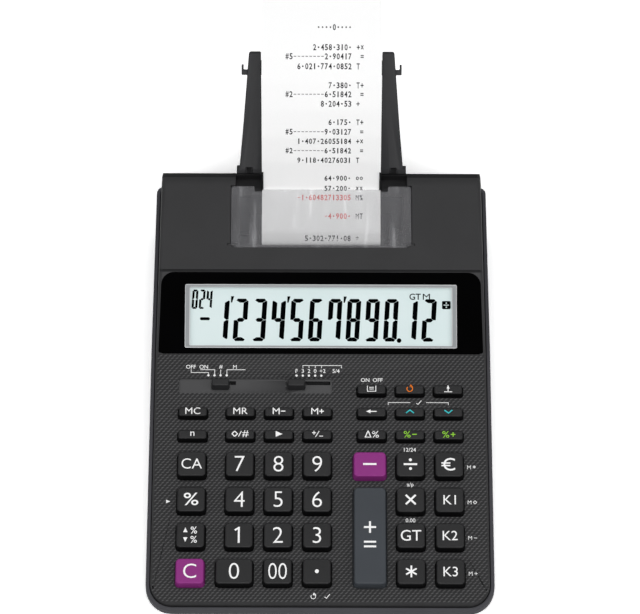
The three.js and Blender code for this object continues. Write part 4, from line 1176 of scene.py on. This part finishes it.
def make_switches():
    for name in ("function_switch", "decimal_switch"):
        rounded_node(name)
        low, high = limits(node_points(name, KEYBOARD))
        middle, floor = (low.y + high.y) / 2, low.z - SWITCH_GAP
        corners = rectangle(low.x - SWITCH_REACH, high.x + SWITCH_REACH, middle - 4, middle + 4, 0.5)
        body = prism(outline(corners, 30), floor - SWITCH_BODY, floor)
        make_piece(f"{name}_body", body, KEYBOARD, DARK_PLASTIC_AND_PAINTED_SHADE, "root", None, 30)


# Printer cover: the teeth of its tear-off edge, and the notches at the ends of that edge

TEETH, NOTCH_DEPTH, NOTCH_WIDTH = 52, 1.2, 3.7


def make_cover():
    low, high = limits(node_points("printer_cover", HOUSING))
    half = high.x - 1.4
    paper_half = node_box("paper_tape")[1].x
    front, rear = 11.5, HOUSING_LENGTH - 0.3
    tear, notch_side = rear - 1.5, paper_half + NOTCH_WIDTH
    notch = tear - NOTCH_DEPTH
    pitch = 2 * paper_half / TEETH
    serrated = []
    for k in range(TEETH):
        x = paper_half - pitch * k
        serrated += [(x, tear, 0), (x - pitch / 2, tear - 0.35, 0)]
    corners = [
        *((-half, front, 2.5), (half, front, 2.5), (half, rear, 1.2)),
        *((notch_side, rear, 0.5), (notch_side, notch, 0.4), (paper_half, notch, 0.4)),
        *serrated,
        *((-paper_half, tear, 0), (-paper_half, notch, 0.4)),
        *((-notch_side, notch, 0.4), (-notch_side, rear, 0.5), (-half, rear, 1.2)),
    ]
    lid = prism(outline(corners, 15), -1.6, 0)
    cover = make_piece("smoked_cover", lid, HOUSING, SMOKED, "cover", "cover_smoked", 25)
    cover.visible_shadow = False
    round_edges(cover, 0.22, 60, 2)
    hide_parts("printer_cover")
    pins = Shape()
    for side in (-1, 1):
        pin = rod(side * (half - 2.5), side * high.x, 0.7, 20, 0.0001)
        pins.add(pin, Matrix.Translation((0, front + 1.5, -0.8)))
    make_piece("cover_pins", pins, HOUSING, CASE, "cover", None, 40)
    rib = outline(rectangle(-half + 2.5, half - 2.5, front + 0.25, front + 1.6, 0.3), 30)
    make_piece("cover_rib", prism(rib, -2.3, -1.62), HOUSING, CASE, "cover", None, 40)


# Paper, drawn as rings that are a step apart

SHEET_STEP = 1.5


def paper_sides():
    """The strip's two long edges in the side view, as pairs of (front face, back face) points in metres,
    from the roll to the free end."""
    work = merged(frame["nodes"]["paper_tape"].data, 0.002, 0.05)
    caps = [face for face in work.faces if face.normal.x < -0.99]
    cap = max(caps, key=lambda face: len(face.verts))
    loop = [vertex.co.copy() for vertex in cap.verts]
    work.free()
    count = len(loop)
    end = max(range(count), key=lambda i: loop[i].z + loop[(i + 1) % count].z)
    pairs = [(loop[(end - k) % count], loop[(end + 1 + k) % count]) for k in range(count // 2)]
    return list(reversed(pairs))


class Strip:
    """The paper's middle line, which print and edges follow. Lengths along it are millimetres from its
    free end, and a height stands out of the printed face."""

    def __init__(self):
        pairs = paper_sides()
        self.line = [(a + b) / 2 / MM for a, b in reversed(pairs)]
        self.lengths = [0.0]
        for a, b in zip(self.line, self.line[1:]):
            self.lengths.append(self.lengths[-1] + (b - a).length)
        self.half_width = node_box("paper_tape")[1].x
        self.half_thickness = (pairs[0][0] - pairs[0][1]).length / MM / 2

    def at(self, length):
        """The point, and the way the printed face looks, at a length from the free end."""
        k = 1
        while k < len(self.lengths) - 1 and self.lengths[k] < length:
            k += 1
        start, stop = self.lengths[k - 1], self.lengths[k]
        share = (length - start) / (stop - start)
        point = self.line[k - 1].lerp(self.line[k], share)
        before = self.direction(k - 1)
        after = self.direction(k)
        way = before.lerp(after, min(max(share, 0), 1)).normalized()
        return point, Vector((0, way.z, -way.y))

    def direction(self, k):
        low, high = max(k - 1, 0), min(k + 1, len(self.line) - 1)
        return (self.line[high] - self.line[low]).normalized()

    def place(self, x, length, height):
        point, out = self.at(length)
        return Vector((x, point.y, point.z)) + out * height

    def sheet(self, start, end, sides=None, heights=None):
        """A closed solid along the strip from one length to another: the sheet itself, or something that
        lies between two other sides and heights."""
        left, right = sides or (-self.half_width, self.half_width)
        low, high = heights or (-self.half_thickness, self.half_thickness)
        count = max(2, round((end - start) / SHEET_STEP))
        columns = 8
        across = [left + (right - left) * i / columns for i in range(columns + 1)]
        rings = []
        for k in range(count + 1):
            length = start + (end - start) * k / count
            front = [self.place(x, length, high) for x in across]
            back = [self.place(x, length, low) for x in reversed(across)]
            rings.append(front + back)
        return loft(rings)

    def on_sheet(self, x, length, height):
        """A place over the sheet, which runs straight from ring to ring."""
        before = math.floor(length / SHEET_STEP) * SHEET_STEP
        share = (length - before) / SHEET_STEP
        return self.place(x, before, height).lerp(self.place(x, before + SHEET_STEP, height), share)


METRES = Matrix.Scale(MM, 4)

# The printed lines: the distance to the line above or the free end, the number, the signs right of it, and
# whether the number is red. An apostrophe stands for the raised point between the figures.
PRINT_PITCH, PRINT_HEIGHT, PRINT_WEIGHT = 1.9, 2.75, 0.085
PRINT_RIGHT, PRINT_SIGN = 13.7, 17.7
PRINTED_LINES = [
    (20.4, "''''0''''", "", 0),
    (9.7, "2'458'310'", "+x", 0),
    (4.4, "#5--------2'90417", " =", 0),
    (4.8, "6'021'774'0852", "T", 0),
    (9.2, "7'380'", "T+", 0),
    (4.4, "#2--------6'51842", " =", 0),
    (4.7, "8'204'53", "+", 0),
    (9.3, "6'175'", "T+", 0),
    (4.9, "#5--------9'03127", " =", 0),
    (5.0, "1'407'26055184", "+x", 0),
    (5.1, "#2--------6'51842", " =", 0),
    (5.2, "9'118'40276031", "T", 0),
    (10.5, "64'900'", "oo", 0),
    (6.0, "57'200'", "xx", 0),
    (4.9, "-1'60482713305", "M%", 1),
    (9.7, "-4'900'", "MT", 1),
    (11.4, "5'302'771'08", "*", 0),
]


def make_paper(strip):
    root_end, total = strip_split(strip), strip.lengths[-1]
    sheet = strip.sheet(0, root_end)
    upper = make_piece("paper_strip", sheet, METRES, PAPER, "root", "paper_white", 60)
    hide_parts("paper_tape")
    sheet = strip.sheet(root_end, total)
    rear = make_piece("paper_feed", sheet, METRES, PAPER, None, "paper_white", 60)
    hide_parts("paper_tape")
    start, end = strip.at(root_end)[0] * MM, strip.at(total)[0] * MM
    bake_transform(rear)
    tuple(start)
    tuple(end)


def strip_split(strip):
    """The length from the free end at which the strip leaves the case at the back, in whole steps."""
    rear_wall = node_box("upper_case")[1].y
    lengths = [
        length
        for point, length in zip(strip.line, strip.lengths)
        if point.y < rear_wall - 4 and point.z < 60
    ]
    return math.floor(max(lengths) / SHEET_STEP) * SHEET_STEP


def make_print(strip):
    black, red = Shape(), Shape()
    along = 0
    for step, number, sign, colour in PRINTED_LINES:
        along += step
        shape = red if colour else black
        down = Matrix.Translation((0, -along, 0))
        for k, character in enumerate(reversed(number)):
            shape.add(printed_character(character, PRINT_RIGHT - k * PRINT_PITCH), down)
        for k, character in enumerate(sign):
            black.add(printed_character(character, PRINT_SIGN + k * PRINT_PITCH), down)
    for name, shape, material in (("print_black", black, PRINT_INK), ("print_red", red, RED_PRINT_INK)):
        lift = strip.half_thickness + 0.02
        points = [strip.on_sheet(p.x, -p.y, lift + p.z * 0.5) for p in shape.points]
        make_piece(name, (points, shape.faces), METRES, material, "root", None, 20)


def printed_character(character, x):
    if character == " ":
        return [], []
    if character in "-'":
        return dot(x, 0, 0.42, 8) if character == "'" else bar(x - 0.62, x + 0.62, -0.16, 0.16)
    solid = lettering(character, PRINT_HEIGHT, PRINT_WEIGHT, 2)
    low, high = limits(solid[0])
    width = high.x - low.x
    stretch = min(1.0, 1.5 / width)
    return moved(solid, x, 0, 0, stretch)


# Two thin dark strips over the strip's edges between the cover's tear-off edge and the bracket: painted
# shade in the gaps beside the paper.
EDGE_SHADE_START, EDGE_SHADE_END = 94.0, 104.6
EDGE_SHADE_WIDTH, EDGE_SHADE_LIFT, EDGE_SHADE_THICKNESS = 0.65, 0.15, 0.5


def make_guides(strip):
    edge_shade = Shape()
    for side in (-1, 1):
        sides = sorted((side * (strip.half_width + 0.15), side * (strip.half_width - EDGE_SHADE_WIDTH)))
        low = strip.half_thickness + EDGE_SHADE_LIFT
        edge_shade.add(strip.sheet(EDGE_SHADE_START, EDGE_SHADE_END, sides, (low, low + EDGE_SHADE_THICKNESS)))
    make_piece("paper_edge_painted_shade", edge_shade, METRES, DARK_PLASTIC_AND_PAINTED_SHADE, "root", None, 40)


# Paper roll

CORE_RADIUS, CORE_WALL = 6.2, 1.1


def make_roll():
    low, high = node_box("paper_roll")
    centre = (low + high) / 2
    radius, half = (high.z - low.z) / 2, (high.x - low.x) / 2
    bore = CORE_RADIUS - CORE_WALL
    place = METRES @ Matrix.Translation(centre)
    ends = [(half, CORE_RADIUS), (half, radius - 0.25), (half - 0.12, radius)]
    profile = [(-x, r) for x, r in ends] + ends[::-1]
    roll = make_piece("wound_paper", turned(profile, 96), place, PAPER, "roll", "paper_white", 30)
    side = roll_side("wound paper edge", tone(236, 236, 233), tuple(centre * MM))
    roll.data.materials.append(side)
    for face in roll.data.polygons:
        if abs(face.normal.x) > 0.9:
            face.material_index = 1
    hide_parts("paper_roll")
    ends = [(half - 0.4, bore), (half - 0.4, CORE_RADIUS - 0.02)]
    core = turned([(-x, r) for x, r in ends] + ends[::-1], 64)
    card = paper_material("core card", tone(196, 178, 150))
    make_piece("roll_core", core, place, card, "roll", None, 30)


# Arms, printer and the pieces inside


# The hinge pins' radius, and where they start and end beside the strip; the radius of the washers on each
# side of the case's lugs, and where each starts and ends beside the strip
HINGE_PIN, HINGE_PIN_START, HINGE_PIN_END = 1.6, 0.8, 13
WASHER, WASHER_PLACES = 4.9, ((5.42, 5.68), (8.12, 8.38))


def joint_record(name):
    return next(j for j in frame["record"]["behaviour"]["joints"] if j["name"] == name)


def make_arms():
    for side in ("left", "right"):
        rounded_node(f"paper_arm_{side}")
    hinge = Vector(joint_record("arm_left_fold")["pos_m"]) / MM
    paper_half = node_box("paper_tape")[1].x
    pins = Shape()
    rods = [(HINGE_PIN, HINGE_PIN_START, HINGE_PIN_END), *((WASHER, *ends) for ends in WASHER_PLACES)]
    for side in (-1, 1):
        for radius, start, end in rods:
            pin = rod(side * (paper_half + start), side * (paper_half + end), radius, 32)
            pins.add(pin, Matrix.Translation((0, hinge.y, hinge.z)))
    make_piece("arm_hinge_pins", pins, METRES, ARM, "root", None, 40)


def dress_inside():
    """The pieces inside, and the battery cover."""
    for node in ("printer_frame", "platen_roller", "print_drum", "battery_cover"):
        rounded_node(node)
    for name, material in (("key_mat", MAT), ("main_board", BOARD)):
        node = frame["nodes"][name]
        node.data.materials.clear()
        node.data.materials.append(material)


# Grip ribs on the battery cover: how many, their pitch, half length, width and height, and how far the
# first lies from the cover's rear edge
RIBS, RIB_PITCH, RIB_HALF, RIB_WIDTH, RIB_HEIGHT, RIB_INSET = 6, 2.2, 13, 1.0, 0.5, 8


def make_ribs():
    """The grip ribs on the battery cover."""
    low, high = node_box("battery_cover")
    ribs = Shape()
    middle = (low.x + high.x) / 2
    left, right = middle - RIB_HALF, middle + RIB_HALF
    for k in range(RIBS):
        y = high.y - RIB_INSET - k * RIB_PITCH
        corners = rectangle(left, right, y - RIB_WIDTH / 2, y + RIB_WIDTH / 2, 0.49)
        ribs.add(prism(outline(corners, 30), low.z - RIB_HEIGHT, low.z + 0.2))
    make_piece("battery_door_ribs", ribs, METRES, RIM, "battery_cover", None, 40)


# Floor, light and camera


def make_stage():
    mesh = bpy.data.meshes.new("floor")
    corners = [(-FLOOR_REACH, -FLOOR_REACH), (FLOOR_REACH, -FLOOR_REACH)]
    corners += [(-x, -y) for x, y in corners]
    mesh.from_pydata([(*corner, 0) for corner in corners], [], [(0, 1, 2, 3)])
    floor = new_object("floor", mesh)
    material, tree, shader = new_material("floor", Roughness=0.9, Specular_IOR_Level=0.1)
    seen = node_in(tree, "ShaderNodeLightPath").outputs["Is Camera Ray"]
    paint(tree, shader, seen, (0.0, scaled((1, 1, 1), 0.8)), (1.0, (*[FLOOR_SHADE] * 3, 1)))
    mesh.materials.append(material)

    world = bpy.data.worlds.new("studio")
    bpy.context.scene.world = world
    world.use_nodes = True
    tree = world.node_tree
    background = tree.nodes["Background"]
    rays = node_in(tree, "ShaderNodeLightPath").outputs
    seen = arithmetic(tree, "MAXIMUM", rays["Is Camera Ray"], rays["Is Transmission Ray"])
    sockets = {"Value": seen, "To Min": WORLD_STRENGTH, "To Max": 1.0}
    strength = node_in(tree, "ShaderNodeMapRange", sockets)
    background.inputs["Color"].default_value = (1, 1, 1, 1)
    tree.links.new(strength.outputs["Result"], background.inputs["Strength"])


WORLD_STRENGTH, FLOOR_SHADE, FLOOR_REACH = 0.24, 1.6, 4.0

# Lamps: name, then place and size across and along in metres, and power in watts. Each looks at the object.
LAMPS = [
    ("front_overhead", (0, -1.0, 1.62), (1.4, 0.45), 19.5),
    ("overhead", (0, 0.5, 1.6), (1.4, 0.5), 4.5),
    ("left_side", (-1.4, -0.3, 1.1), (0.7, 1.0), 4.5),
    ("right_side", (1.4, -0.3, 1.1), (0.7, 1.0), 6),
]


def make_lamps():
    for name, place, (across, along), power in LAMPS:
        lamp = bpy.data.lights.new(name, "AREA")
        lamp.shape = "RECTANGLE"
        lamp.size = across
        lamp.size_y = along
        lamp.energy = power
        holder = new_object(name, lamp)
        holder.location = place
        gaze = Vector((0, 0, 0.04)) - Vector(place)
        holder.rotation_euler = gaze.to_track_quat("-Z", "Y").to_euler()


# The camera looks down at the keyboard from the front, from far away
CAMERA_ELEVATION = 60
CAMERA_DISTANCE = 1509
CAMERA_TARGET = (0, CASE_FRONT + 148.6, 46)
CAMERA_ROLL, CAMERA_SHIFT = 0.17, (-0.00145, 0)
CAMERA_LENS, SENSOR = 174.4, 36


def make_camera():
    camera = bpy.data.cameras.new("camera")
    camera.lens = CAMERA_LENS
    camera.sensor_width = SENSOR
    camera.sensor_fit = "HORIZONTAL"
    holder = new_object("camera", camera)
    angle = math.radians(CAMERA_ELEVATION)
    away = Vector((0, -math.cos(angle), math.sin(angle))) * CAMERA_DISTANCE
    holder.location = (Vector(CAMERA_TARGET) + away) * MM
    turn = Matrix.Rotation(math.radians(90 - CAMERA_ELEVATION), 3, "X")
    roll = Matrix.Rotation(math.radians(CAMERA_ROLL), 3, "Z")
    holder.rotation_euler = (turn @ roll).to_euler()
    camera.shift_x, camera.shift_y = CAMERA_SHIFT
    bpy.context.scene.camera = holder
    bpy.context.scene.view_settings.view_transform = "Standard"


make_camera()
make_cases()
keys = make_keys()
make_key_legends(keys)
make_display()
make_case_legends()
make_switches()
make_cover()
strip = Strip()
make_paper(strip)
make_print(strip)
make_guides(strip)
make_roll()
make_arms()
dress_inside()
make_ribs()
make_stage()
make_lamps()
